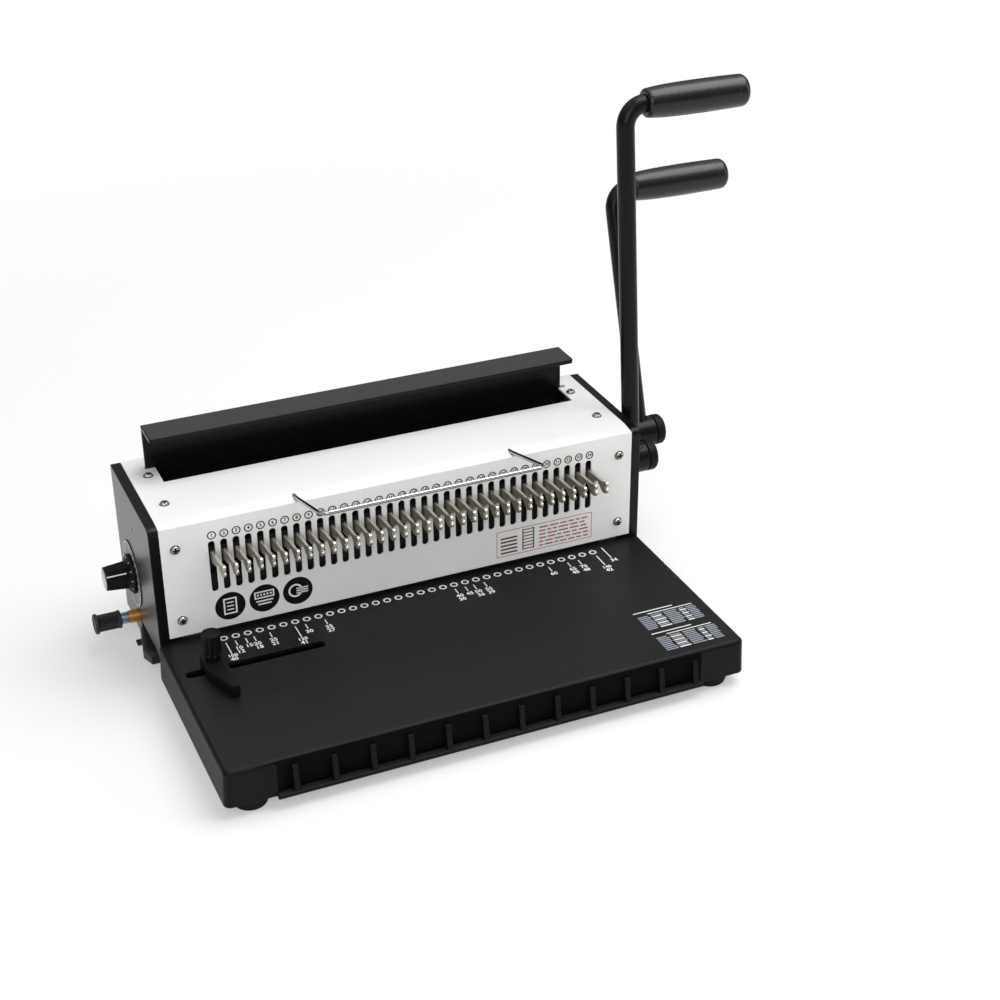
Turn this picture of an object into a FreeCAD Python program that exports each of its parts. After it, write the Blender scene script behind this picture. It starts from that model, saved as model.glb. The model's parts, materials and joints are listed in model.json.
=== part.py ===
"""A desk wire binding machine: it punches a row of holes and closes wire loops.

Lengths are millimetres and angles degrees. While the pieces are drawn, X = 0 is the middle of the
row of holes, Y = 0 the face of the white front panel and Z = 0 the desk. +X points to the lever
side, +Y to the back and +Z up. The Reference point then shifts the model so that its origin lies at
the middle of the bottom of its bounding box.
"""
import FreeCAD, Part
import os
import re

import Sketcher
from FreeCAD import Placement, Rotation, Vector

SIZES = {
    # The row of holes, three to the inch
    "hole_count": 34,
    "hole_pitch": 8.4667,
    # Side plates
    "inner_half": 174.2,
    "plate_thick": 7.1,
    "plate_depth": 105.0,
    "plate_drop": 0.5,
    "plate_corner": 5.0,
    # Base table with its ribbed front
    "base_overhang": 2.0,
    "base_lean": 2.8,
    "base_front": 156.0,
    "base_height": 26.5,
    "foot_gap": 9.0,
    "base_wall": 3.0,
    "front_wall": 11.0,
    "base_corner": 5.0,
    "base_edge": 3.2,
    "recess_depth": 7.0,
    "recess_inset": 34.6,
    "rail_height": 1.8,
    "lip_height": 7.5,
    "rib_count": 12,
    "rib_pitch": 25.6,
    "rib_shift": 3.9,
    "rib_thick": 3.2,
    "floor_sheet": 1.5,
    # Feet
    "foot_radius": 13.2,
    "foot_taper": 2.4,
    "foot_recess": 5.0,
    "foot_inset": 19.6,
    "foot_setback": 14.0,
    "foot_margin": 19.0,
    "boss_radius": 6.0,
    # Sheet metal covers
    "sheet": 1.6,
    "paper_gap": 3.2,
    "crease_drop": 1.6,
    "strip_run": 11.7,
    "cover_top": 124.5,
    "trough_gap": 3.3,
    "trough_inset": 19.1,
    "trough_shift": 1.4,
    "slot_low": 67.8,
    "slot_length": 39.3,
    "slot_width": 4.7,
    # Screws
    "screw_radius": 2.0,
    "head_radius": 3.1,
    "head_height": 2.0,
    "screw_length": 7.0,
    "face_screw_inset": 9.9,
    "face_screw_low": 51.1,
    "face_screw_high": 106.2,
    "top_screw_inset": 12.7,
    "top_screw_front": 31.6,
    "top_screw_rear": 75.8,
    "side_pin_y": 55.0,
    "side_pin_z": 98.0,
    "side_pin_radius": 1.2,
    "side_pin_proud": 0.4,
    "rear_screw_low": 50.0,
    "rear_screw_high": 112.0,
    "block_half": 4.0,
    "block_reach": 16.0,
    "block_depth": 6.4,
    # Wire closer: bent anvil over a rising press bar
    "press_gap": 0.5,
    "anvil_thick": 3.2,
    "anvil_inset": 14.9,
    "lip_corner": 2.5,
    "anvil_shift": -1.1,
    "anvil_slot_end": 162.5,
    "anvil_rise": 32.4,
    "anvil_foot": 60.0,
    "lip_overhang": 1.6,
    "lip_thick": 3.4,
    "beam_depth": 10.0,
    "beam_height": 20.0,
    "bolt_outer": 100.0,
    "bolt_inner": 30.0,
    "press_inset": 24.2,
    "press_depth": 20.3,
    "press_rack_back": 3.175,
    "press_drop": 5.5,
    "press_thick": 14.0,
    # Punch set
    "die_inset": 9.2,
    "die_front": 3.0,
    "die_back": 20.0,
    "die_thick": 8.0,
    "spacer_width": 14.0,
    "pin_side": 4.0,
    "pin_gap": 0.15,
    "pin_inset": 9.5,
    "pin_lift": 0.5,
    "punch_inset": 19.2,
    "punch_low": 62.0,
    "punch_height": 18.0,
    "punch_depth": 10.0,
    # Shafts, bushes and gears
    "punch_rack_back": 2.375,
    "closer_y": 64.0,
    "shaft_z": 85.0,
    "shaft_radius": 6.0,
    "bush_radius": 9.0,
    "flange_radius": 11.0,
    "flange_thick": 2.0,
    "blind_depth": 5.0,
    "running_gap": 0.05,
    "seat_gap": 0.02,
    "tooth_module": 1.5,
    "tooth_play": 0.5,
    "punch_teeth": 13,
    "closer_teeth": 23,
    "gear_width": 9.0,
    "punch_gear_inset": 24.2,
    "closer_gear_inset": 34.2,
    # Levers
    "tube_radius": 6.5,
    "bend_radius": 15.0,
    "punch_tube_gap": 8.0,
    "lever_spacing": 25.5,
    "punch_reach": 262.6,
    "closer_reach": 184.9,
    "punch_lean": 5.3,
    "closer_lean": 17.3,
    "hub_radius": 11.6,
    "hub_inner": 7.5,
    "hub_outer": 10.3,
    "cap_length": 8.0,
    "cap_round": 3.0,
    "cap_neck": 0.8,
    "grip_length": 80.0,
    "grip_start_radius": 9.7,
    "grip_radius": 11.65,
    "grip_round": 4.5,
    "sleeve_radius": 8.5,
    # Hooks that hold the wire
    "hook_thick": 2.2,
    "hook_low": 90.5,
    "hook_high": 100.6,
    "hook_reach": 30.4,
    "hook_tip": 103.4,
    "hook_heel": 94.0,
    "hook_arch": 98.6,
    "hook_bar_front": 3.5,
    "hook_bar_back": 9.0,
    "hook_bar_low": 88.0,
    "hook_bar_high": 100.5,
    # Chrome rod above the hooks
    "rod_radius": 1.4,
    "rod_half": 79.8,
    "rod_shift": 1.9,
    "rod_root_y": 5.9,
    "rod_reach": 59.0,
    "rod_tail": 15.0,
    "rod_lift": 15.3,
    "rod_bend": 6.0,
    # Dial for the closing gap
    "dial_y": 68.0,
    "dial_z": 55.5,
    "dial_shaft": 4.0,
    "scale_radius": 24.2,
    "scale_thick": 0.8,
    "skirt_radius": 14.5,
    "skirt_thick": 4.0,
    "dial_radius": 9.9,
    "dial_top_radius": 8.6,
    "dial_length": 19.0,
    "dial_cap_radius": 7.6,
    "dial_cap_thick": 1.2,
    "cam_radius": 12.0,
    "cam_throw": 3.0,
    "cam_inset": 18.2,
    "cam_width": 8.0,
    "finger_length": 13.8,
    # Punching margin knob and its stop
    "margin_y": 64.5,
    "margin_z": 23.1,
    "margin_shaft": 3.0,
    "margin_reach": 31.9,
    "margin_grip": 18.8,
    "margin_flange": 7.2,
    "margin_body": 6.1,
    "margin_flange_thick": 2.4,
    "margin_throw": 2.0,
    "margin_disc": 4.5,
    "margin_overhang": 14.0,
    "margin_flutes": 20,
    "margin_flute": 0.6,
    "collar_radius": 4.6,
    "collar_reach": 7.4,
    "stop_side_gap": 11.0,
    "stop_front": 14.0,
    "stop_depth": 3.0,
    "stop_arm_x": 100.0,
    "stop_arm_width": 8.0,
    # Paper guide
    "guide_slot_y": 42.6,
    "guide_slot_inset": 8.4,
    "guide_slot_length": 96.3,
    "guide_slot_width": 7.0,
    "guide_rest": 19.1,
    "guide_face": 7.3,
    "guide_front": 80.0,
    "guide_rear": 34.0,
    "guide_height": 9.0,
    "guide_screw": 1.6,
    "guide_knob_radius": 6.4,
    "guide_knob_foot": 5.2,
    "guide_knob_top": 29.0,
    "guide_flutes": 9,
    "guide_flute": 1.3,
    # Waste drawer
    "drawer_front_y": 5.4,
    "drawer_rear_y": 56.6,
    "drawer_top": 23.0,
    "drawer_proud": 7.0,
    "drawer_thin": 1.8,
    "drawer_face_front": 16.5,
    "drawer_face_peak": 27.0,
    "drawer_face_top": 19.0,
    "drawer_inset": 35.5,
    "drawer_wall": 1.2,
    # Return springs
    "spring_wire": 0.6,
    "punch_spring_inset": 36.2,
    "punch_spring_offset": 2.3,
    "punch_spring_radius": 2.0,
    "closer_spring_x": 60.0,
    "closer_spring_radius": 3.4,
    # Gap of the sliding and turning pieces
    "slip": 0.3,
    "film": 0.1,
}

# Sizes and places that follow from the driving sizes
FOLLOWING = {
    "plate_out": "inner_half + plate_thick",
    "plate_top": "cover_top - plate_drop",
    "base_half": "plate_out + base_overhang",
    "recess_half": "base_half - recess_inset",
    "foot_x": "base_half - foot_inset",
    "foot_front": "base_front - foot_setback",
    "foot_rear": "plate_depth - foot_margin",
    "crease_height": "cover_top - crease_drop",
    "trough_front": "press_front - trough_gap",
    "trough_half": "inner_half - trough_inset",
    "face_screw_x": "inner_half - face_screw_inset",
    "top_screw_x": "inner_half - top_screw_inset",
    "press_back": "closer_y + tooth_module * (closer_teeth / 2 + 1.25) + press_rack_back",
    "press_front": "press_back - press_depth",
    "press_half": "inner_half - press_inset",
    "press_top": "cover_top - press_drop",
    "anvil_face": "press_back + press_gap",
    "anvil_half": "inner_half - anvil_inset",
    "anvil_top": "cover_top + anvil_rise",
    "anvil_lip": "press_front - lip_overhang",
    "die_half": "inner_half - die_inset",
    "spacer_inner": "die_half - spacer_width",
    "punch_half": "inner_half - punch_inset",
    "punch_y": "pin_inset + punch_depth / 2 + punch_rack_back + tooth_module * (punch_teeth / 2 + 1.25)",
    "punch_gear_x": "inner_half - punch_gear_inset",
    "closer_gear_x": "inner_half - closer_gear_inset",
    "punch_tube_x": "plate_out + punch_tube_gap",
    "closer_tube_x": "punch_tube_x + lever_spacing",
    "rod_root_z": "crease_height + crease_drop * rod_root_y / strip_run",
    "cam_x": "inner_half - cam_inset",
    "margin_end": "stop_arm_x + margin_overhang",
    "stop_half": "spacer_inner - stop_side_gap",
    "guide_slot_left": "base_half - guide_slot_inset",
    "guide_slot_right": "guide_slot_left - guide_slot_length",
    "guide_x": "guide_slot_left - guide_rest",
    "drawer_end": "inner_half - drawer_inset",
    "punch_spring_x": "inner_half - punch_spring_inset",
    "punch_spring_y": "pin_inset + punch_spring_offset",
    "closer_spring_y": "press_front + press_depth / 2",
}
TABLE = "(foot_gap + base_height)"
PANEL_LOW = f"({TABLE} + paper_gap)"
FLOOR = "(foot_gap + floor_sheet)"
FIRST_HOLE = "(-(hole_count - 1) / 2 * hole_pitch)"
ROOF = "(cover_top - sheet)"
PRESS_LOW = "(press_top - press_thick)"
PUNCH_TOP = "(punch_low + punch_height)"
PUNCH_FRONT = "(pin_inset - punch_depth / 2)"
PUNCH_BACK = "(pin_inset + punch_depth / 2)"
ANVIL_BACK = "(anvil_face + anvil_thick)"
GUIDE_TOP = f"({PANEL_LOW} + die_thick)"
PUNCH_PITCH_RADIUS = "(tooth_module * punch_teeth / 2)"
CLOSER_PITCH_RADIUS = "(tooth_module * closer_teeth / 2)"
RIGHT_END = "(closer_tube_x + bend_radius + grip_length)"
LEFT_END = "(plate_out + margin_reach)"
REAR_END = "(closer_y + closer_reach * sin(closer_lean) + grip_radius)"

UP = Rotation()
TOWARD_USER = Rotation(Vector(1, 0, 0), 90)
TOWARD_BACK = Rotation(Vector(1, 0, 0), -90)
TOWARD_LEFT = Rotation(Vector(0, 1, 0), -90)
TOWARD_RIGHT = Rotation(Vector(0, 1, 0), 90)
DOWN = Rotation(Vector(1, 0, 0), 180)
ALONG = {"x": TOWARD_RIGHT, "y": TOWARD_BACK, "z": UP}

doc = FreeCAD.newDocument("wire_binder")
nodes = []


def tied(text):
    """An expression with each driving size as its cell in the sheet and each following size written out."""
    def cell(match):
        word = match.group()
        if word in FOLLOWING:
            return f"({tied(FOLLOWING[word])})"
        return "Dims." + word if word in SIZES else word
    return re.sub(r"[a-z][a-z_]*", cell, str(text))


def number(text):
    """The value of an expression, for picking edges by their place."""
    probe = doc.getObject("Probe") or doc.addObject("Part::Vertex", "Probe")
    probe.setExpression("X", tied(text))
    probe.recompute()
    return probe.X.Value


def fill_sheet():
    """The sheet of driving sizes."""
    sheet = doc.addObject("Spreadsheet::Sheet", "Dims")
    for row, (name, value) in enumerate(SIZES.items(), start=1):
        sheet.set(f"A{row}", name)
        sheet.set(f"B{row}", str(value))
        sheet.setAlias(f"B{row}", name)
    doc.recompute()
    point = doc.addObject("Part::Vertex", "Reference")
    point.setExpression("X", tied(f"({RIGHT_END} - {LEFT_END}) / 2"))
    point.setExpression("Y", tied(f"({REAR_END} - base_front) / 2"))
    doc.recompute()


def place(piece, x="0", y="0", z="0", local=False):
    """Tie a piece's place to the sheet; a local piece stays clear of the Reference shift."""
    for axis, text in zip("xyz", (x, y, z)):
        shift = "" if local or axis == "z" else f" - Reference.{axis.upper()} / 1mm"
        piece.setExpression(f"Placement.Base.{axis}", tied(text) + shift)


def box(name, x, y, z, local=False):
    """A block between two planes on each axis."""
    piece = doc.addObject("Part::Box", name)
    for side, (low, high) in zip(("Length", "Width", "Height"), (x, y, z)):
        piece.setExpression(side, tied(f"({high}) - ({low})"))
    place(piece, x[0], y[0], z[0], local)
    return piece


def both_ways(size, low="0"):
    """The span from low to a size on either side of the middle, as a mirrored pair."""
    return ((f"-({size})", f"-({low})"), (low, size))


def round_bar(name, axis, radius, start, end, x="0", y="0", z="0", local=False):
    """A cylinder along one axis."""
    piece = doc.addObject("Part::Cylinder", name)
    piece.setExpression("Radius", tied(radius))
    piece.setExpression("Height", tied(f"({end}) - ({start})"))
    piece.Placement = Placement(Vector(), ALONG[axis])
    middle = {"x": x, "y": y, "z": z}
    middle[axis] = start
    place(piece, local=local, **middle)
    return piece


def join(name, pieces):
    """Several solids fused to one."""
    piece = doc.addObject("Part::MultiFuse", name)
    piece.Shapes = pieces
    piece.Refine = True
    return piece


def group(name, pieces):
    """Several solids kept apart in one node."""
    piece = doc.addObject("Part::Compound", name)
    piece.Links = pieces
    return piece


def cut(name, stock, tools):
    """A solid with material taken away."""
    piece = doc.addObject("Part::Cut", name)
    piece.Base = stock
    piece.Tool = tools[0] if len(tools) == 1 else join(name + "_tool", tools)
    return piece


def link(name, piece, turn=UP, relative=False, **where):
    """Another copy of a piece."""
    copy = doc.addObject("App::Link", name)
    copy.LinkedObject = piece
    copy.LinkTransform = True
    copy.Placement = Placement(Vector(), turn)
    place(copy, local=relative, **where)
    return copy


def row_of(name, piece, count, spacing, axis="x"):
    """A piece and its copies at even steps along one axis."""
    steps = [link(f"{name}_{step}", piece, relative=True, **{axis: f"{step} * ({spacing})"})
             for step in range(1, count)]
    return [piece] + steps


def node(name, piece):
    """Name a finished piece; the name is also its file's name."""
    piece.Label = name
    nodes.append(piece)
    return piece


def sketch_on(body, plane, corners, offset="0"):
    """A closed outline with each corner tied to the sheet."""
    sketch = body.newObject("Sketcher::SketchObject", body.Name + "_outline")
    flat = [item for item in body.Origin.OriginFeatures if item.Role == plane][0]
    sketch.AttachmentSupport = [(flat, "")]
    sketch.MapMode = "FlatFace"
    sketch.setExpression("AttachmentOffset.Base.z", tied(offset))
    count = len(corners)
    starts = [Rotation(Vector(0, 0, 1), 360.0 * i / count).multVec(Vector(1, 0, 0)) for i in range(count)]
    for i in range(count):
        sketch.addGeometry(Part.LineSegment(starts[i], starts[(i + 1) % count]), False)
    for i in range(count):
        sketch.addConstraint(Sketcher.Constraint("Coincident", i, 2, (i + 1) % count, 1))
    for i, corner in enumerate(corners):
        for kind, text, value in zip(("DistanceX", "DistanceY"), corner, starts[i]):
            rule = sketch.addConstraint(Sketcher.Constraint(kind, -1, 1, i, 1, value))
            sketch.setExpression(f"Constraints[{rule}]", tied(text))
    return sketch


def prism(name, plane, corners, start, end, local=False):
    """An outline pushed out between two parallel planes."""
    body = doc.addObject("PartDesign::Body", name)
    pad = body.newObject("PartDesign::Pad", name + "_pad")
    pad.Profile = sketch_on(body, plane, corners, start)
    pad.setExpression("Length", tied(f"({end}) - ({start})"))
    place(body, local=local)
    doc.recompute()
    return body


def turned(name, axis, outline, x="0", y="0", z="0", local=False):
    """A turned solid: its outline is a list of distance along the axis and radius."""
    body = doc.addObject("PartDesign::Body", name)
    sweep = body.newObject("PartDesign::Revolution", name + "_turned")
    sketch = sketch_on(body, "XY_Plane", outline)
    sweep.Profile = sketch
    sweep.ReferenceAxis = (sketch, ["H_Axis"])
    sweep.Angle = 360
    turns = {"x": Rotation(), "y": Rotation(Vector(0, 0, 1), 90), "z": TOWARD_LEFT}
    body.Placement = Placement(Vector(), turns[axis])
    place(body, x, y, z, local)
    doc.recompute()
    return body


def soften(body, radius, chosen):
    """Round the edges for which chosen(edge) is true."""
    stock = body.Tip
    names = [f"Edge{i}" for i, edge in enumerate(stock.Shape.Edges, start=1) if chosen(edge)]
    fillet = body.newObject("PartDesign::Fillet", f"{body.Name}_round_{len(body.Group)}")
    fillet.Base = (stock, names)
    fillet.setExpression("Radius", tied(radius))
    body.Tip = fillet
    doc.recompute()


def lean_walls(body, angle, chosen):
    """Lean the walls for which chosen(face) is true inward, from the body's lowest face up."""
    stock = body.Tip
    faces = list(enumerate(stock.Shape.Faces, start=1))
    lowest = min(faces, key=lambda item: item[1].BoundBox.ZMax)[0]
    lean = body.newObject("PartDesign::Draft", f"{body.Name}_lean")
    lean.Base = (stock, [f"Face{i}" for i, face in faces if chosen(face)])
    lean.NeutralPlane = (stock, [f"Face{lowest}"])
    lean.setExpression("Angle", tied(angle))
    body.Tip = lean
    doc.recompute()


def make_spring(name, wire, height, radius):
    """A close wound spring that stands on its own origin: one turn, repeated along its axis."""
    bore, crest, valley = f"({radius}) - ({wire})", f"({radius}) + ({wire})", f"({radius}) + 0.3 * ({wire})"
    turn = [
        ("0", bore), ("0", valley), (f"0.5 * ({wire})", crest), (f"1.5 * ({wire})", crest),
        (f"2 * ({wire})", valley), (f"2 * ({wire})", bore),
    ]
    body = turned(name, "z", turn, local=True)
    first = body.Tip
    turns = body.newObject("PartDesign::LinearPattern", name + "_turns")
    turns.Originals = [first]
    turns.Direction = (first.Profile[0], ["H_Axis"])
    turns.setExpression("Length", tied(f"({height}) - 2 * ({wire})"))
    turns.setExpression("Occurrences", tied(f"ceil((({height}) - 2 * ({wire})) / (2 * ({wire}))) + 1"))
    body.Tip = turns
    doc.recompute()
    return body


def make_screw():
    """A pan head screw with a cross recess; the head's seat is at its origin and the head points up."""
    head = turned("screw_turned", "z", [
        ("-screw_length", "0"), ("-screw_length", "screw_radius"), ("0", "screw_radius"),
        ("0", "head_radius"),
        ("head_height * 0.45", "head_radius"), ("head_height * 0.85", "head_radius * 0.8"),
        ("head_height", "head_radius * 0.45"), ("head_height", "0"),
    ], local=True)
    half = ("-head_radius * 0.72", "head_radius * 0.72")
    thin = ("-head_radius * 0.19", "head_radius * 0.19")
    depth = ("head_height * 0.2", "head_height * 1.5")
    cross = [box("screw_cross_a", half, thin, depth, True), box("screw_cross_b", thin, half, depth, True)]
    return cut("screw_cut", head, cross)


def make_base():
    """The base table: a thick moulding, open underneath, with a ribbed channel along its front."""
    plan = [
        ("-base_half", "-base_front"), ("base_half", "-base_front"), ("base_half", "0"),
        ("inner_half", "0"),
        ("inner_half", "plate_depth"), ("-inner_half", "plate_depth"), ("-inner_half", "0"),
        ("-base_half", "0"),
    ]
    block = prism("base_block", "XY_Plane", plan, "foot_gap", TABLE)
    front = -SIZES["base_front"]
    top = SIZES["foot_gap"] + SIZES["base_height"]
    lean_walls(block, "base_lean",
               lambda face: face.BoundBox.XLength < 1e-6 and face.BoundBox.YMin < front + 1)
    soften(block, "base_corner", lambda edge: edge.BoundBox.ZLength > 1 and edge.BoundBox.YMax < front + 1)
    soften(block, "base_edge", lambda edge: edge.BoundBox.ZMin > top - 1e-6 and edge.BoundBox.YMin < -1)
    below = ("foot_gap - 1", f"{TABLE} - base_wall")
    hollow_half = "base_half - base_wall"
    floor_half = "inner_half - base_wall"
    recess_z = ("foot_gap + rail_height", f"{TABLE} - lip_height")
    guide_low = "-guide_slot_y - guide_slot_width / 2"
    guide_high = "-guide_slot_y + guide_slot_width / 2"
    through = (f"{TABLE} - base_wall - 1", f"{TABLE} + 1")
    tools = [
        box("base_hollow_front", (f"-({hollow_half})", hollow_half),
            ("front_wall - base_front", "-base_wall"), below),
        box("base_hollow_rear", (f"-({floor_half})", floor_half),
            ("-base_wall - 1", "plate_depth - base_wall"), below),
        box("base_channel", ("-recess_half", "recess_half"),
            ("-base_front - 1", "recess_depth - base_front"), recess_z),
        box("base_die_window", ("-die_half", "die_half"), ("die_front", "die_back"), through),
        box("base_guide_slot", ("-guide_slot_left + guide_slot_width / 2",
                                "-guide_slot_right - guide_slot_width / 2"),
            (guide_low, guide_high), through),
        box("base_drawer_mouth", ("-inner_half - 1", "base_wall + 1 - inner_half"),
            ("drawer_front_y", "drawer_rear_y"), ("foot_gap - 1", "drawer_top")),
        round_bar("base_margin_hole", "x", "margin_shaft + slip", "-inner_half - 1",
                  "base_wall + 1 - inner_half",
                  y="margin_y", z="margin_z"),
    ]
    for side, end in (("left", "-guide_slot_left + guide_slot_width / 2"),
                      ("right", "-guide_slot_right - guide_slot_width / 2")):
        tools.append(round_bar(f"base_slot_{side}", "z", "guide_slot_width / 2", *through,
                               x=end, y="-guide_slot_y"))
    for side, (low, high) in zip(("left", "right"), both_ways("stop_arm_x + stop_arm_width / 2 + 1",
                                                            "stop_arm_x - stop_arm_width / 2 - 1")):
        tools.append(box(f"base_tab_slot_{side}", (low, high),
                         ("margin_y + margin_throw", "margin_y + margin_disc + 3 * margin_throw"), through))
    shell = cut("base_shell", block, tools)
    first_rib = "rib_shift - (rib_count - 1) / 2 * rib_pitch"
    rib = box("base_rib", (f"{first_rib} - rib_thick / 2", f"{first_rib} + rib_thick / 2"),
              ("0.4 - base_front", "recess_depth - base_front"), recess_z)
    added = row_of("base_rib", rib, SIZES["rib_count"], "rib_pitch")
    for i, (x, y) in enumerate(foot_places()):
        added.append(round_bar(f"base_boss_{i}", "z", "boss_radius", FLOOR, f"{TABLE} - base_wall", x=x,
                               y=y))
    added.append(box("base_margin_boss", ("margin_end - 6", "margin_end"),
                     ("margin_y - 2 * margin_shaft", "margin_y + 2 * margin_shaft"),
                     ("margin_z - 2 * margin_shaft", f"{TABLE} - base_wall")))
    bores = [round_bar(f"base_bore_{i}", "z", "screw_radius + seat_gap", "foot_gap",
                       f"{TABLE} - base_wall - 4", x=x, y=y)
             for i, (x, y) in enumerate(foot_places())]
    bores.append(round_bar("base_margin_bore", "x", "margin_shaft + running_gap", "margin_end - 7",
                           "margin_end + 1",
                           y="margin_y", z="margin_z"))
    node("base_table", cut("base_table_cut", join("base_ribbed", [shell] + added), bores))


def foot_places():
    """The middle of each foot."""
    return [("-foot_x", "-foot_front"), ("foot_x", "-foot_front"), ("-foot_x", "foot_rear"),
            ("foot_x", "foot_rear")]


def make_floor_and_feet():
    """The sheet that closes the base underneath, and four rubber feet with their screws."""
    gap = "(base_wall + slip)"
    plan = [
        (f"-base_half + {gap}", "front_wall + slip - base_front"),
        (f"base_half - {gap}", "front_wall + slip - base_front"),
        (f"base_half - {gap}", "-base_wall - slip"), (f"inner_half - {gap}", "-base_wall - slip"),
        (f"inner_half - {gap}", f"plate_depth - {gap}"), (f"{gap} - inner_half", f"plate_depth - {gap}"),
        (f"{gap} - inner_half", "-base_wall - slip"), (f"-base_half + {gap}", "-base_wall - slip"),
    ]
    sheet = prism("floor_sheet_body", "XY_Plane", plan, "foot_gap", FLOOR)
    holes = [round_bar(f"floor_hole_{i}", "z", "screw_radius + 0.2", "foot_gap - 1", f"{FLOOR} + 1", x=x,
                       y=y)
             for i, (x, y) in enumerate(foot_places())]
    node("bottom_plate", cut("bottom_plate_cut", sheet, holes))
    foot = turned("foot_turned", "z", [
        ("0", "foot_recess"), ("0", "foot_radius - foot_taper"), ("foot_gap", "foot_radius"),
        ("foot_gap", "screw_radius + 0.2"), ("foot_gap * 0.5", "screw_radius + 0.2"),
        ("foot_gap * 0.5", "foot_recess"),
    ], local=True)
    rim = SIZES["foot_radius"] - SIZES["foot_taper"]
    soften(foot, "foot_taper",
           lambda edge: edge.BoundBox.XMax < 1e-6 and edge.BoundBox.YLength > 2 * rim - 0.1)
    node("rubber_feet", group("feet_group", [link(f"foot_{i}", foot, x=x, y=y) for i,
                                             (x, y) in enumerate(foot_places())]))
    long_screw = turned("foot_screw_turned", "z", [
        ("-foot_gap * 0.5 - 9", "0"), ("-foot_gap * 0.5 - 9", "screw_radius"), ("0", "screw_radius"),
        ("0", "foot_recess - 1"), ("head_height * 0.5", "foot_recess - 1"),
        ("head_height", "foot_recess - 2.4"),
        ("head_height", "0"),
    ], local=True)
    node("foot_screws", group("foot_screw_group", [
        link(f"foot_screw_{i}", long_screw, DOWN, x=x, y=y, z="foot_gap * 0.5") for i,
        (x, y) in enumerate(foot_places())]))


def make_side_plate(side):
    """One thick side plate with its bush seats; the left one also carries the knobs and the drawer mouth."""
    left = side == "left"
    outline = [("0", "foot_gap"), ("plate_depth", "foot_gap"), ("plate_depth", "plate_top"),
               ("0", "plate_top")]
    span = ("-plate_out", "-inner_half") if left else ("inner_half", "plate_out")
    plate = prism(f"{side}_plate_body", "YZ_Plane", outline, *span)
    top = number("plate_top")
    soften(plate, "plate_corner",
           lambda edge: edge.BoundBox.ZMin > top - 1e-6 and edge.BoundBox.YMax < 1e-6)
    inside = ("-inner_half - blind_depth", "1 - inner_half") if left else ("inner_half - 1",
                                                                           "plate_out + 1")
    tools = [round_bar(f"{side}_bush_seat_{name}", "x", "bush_radius + seat_gap", *inside, y=y, z="shaft_z")
             for name, y in (("punch", "punch_y"), ("closer", "closer_y"))]
    all_through = ("-plate_out - 1", "1 - inner_half") if left else ("inner_half - 1", "plate_out + 1")
    tools.append(round_bar(f"{side}_pin_hole", "x", "side_pin_radius", *all_through, y="side_pin_y",
                           z="side_pin_z"))
    if left:
        tools.append(round_bar("left_dial_hole", "x", "dial_shaft + running_gap", *all_through, y="dial_y",
                               z="dial_z"))
        tools.append(round_bar("left_margin_hole", "x", "collar_radius + seat_gap", *all_through,
                               y="margin_y", z="margin_z"))
        mouth = prism("left_drawer_mouth", "YZ_Plane", drawer_outline("0", "foot_gap - 1"), *all_through)
        round_drawer_corner(mouth)
        tools.append(mouth)
    node(f"{side}_side_plate", cut(f"{side}_plate_cut", plate, tools))


def drawer_outline(inset, low):
    """The outline of the drawer's mouth, or of its front when inset."""
    front = f"drawer_front_y + {inset}"
    rear = f"drawer_rear_y - {inset}"
    top = f"drawer_top - {inset}"
    return [(front, low), (rear, low), (rear, top), (front, top)]


def round_drawer_corner(body):
    """The rounded upper corner of the drawer's front, towards the user."""
    middle = (SIZES["drawer_front_y"] + SIZES["drawer_rear_y"]) / 2
    height = body.Tip.Shape.BoundBox.ZMax
    soften(body, "plate_corner",
           lambda edge: edge.BoundBox.XLength > 1 and edge.BoundBox.ZMin > height - 1e-6
           and edge.BoundBox.YMax < middle)


def screw_seats():
    """Each cover screw: name, place and the way its head faces."""
    seats = []
    for side, sign in (("left", "-"), ("right", "")):
        for level in ("low", "high"):
            seats.append((f"face_{side}_{level}", f"{sign}face_screw_x", "0", f"face_screw_{level}",
                          TOWARD_USER))
        for row in ("front", "rear"):
            seats.append((f"top_{side}_{row}", f"{sign}top_screw_x", f"top_screw_{row}", "cover_top", UP))
    return seats


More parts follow.
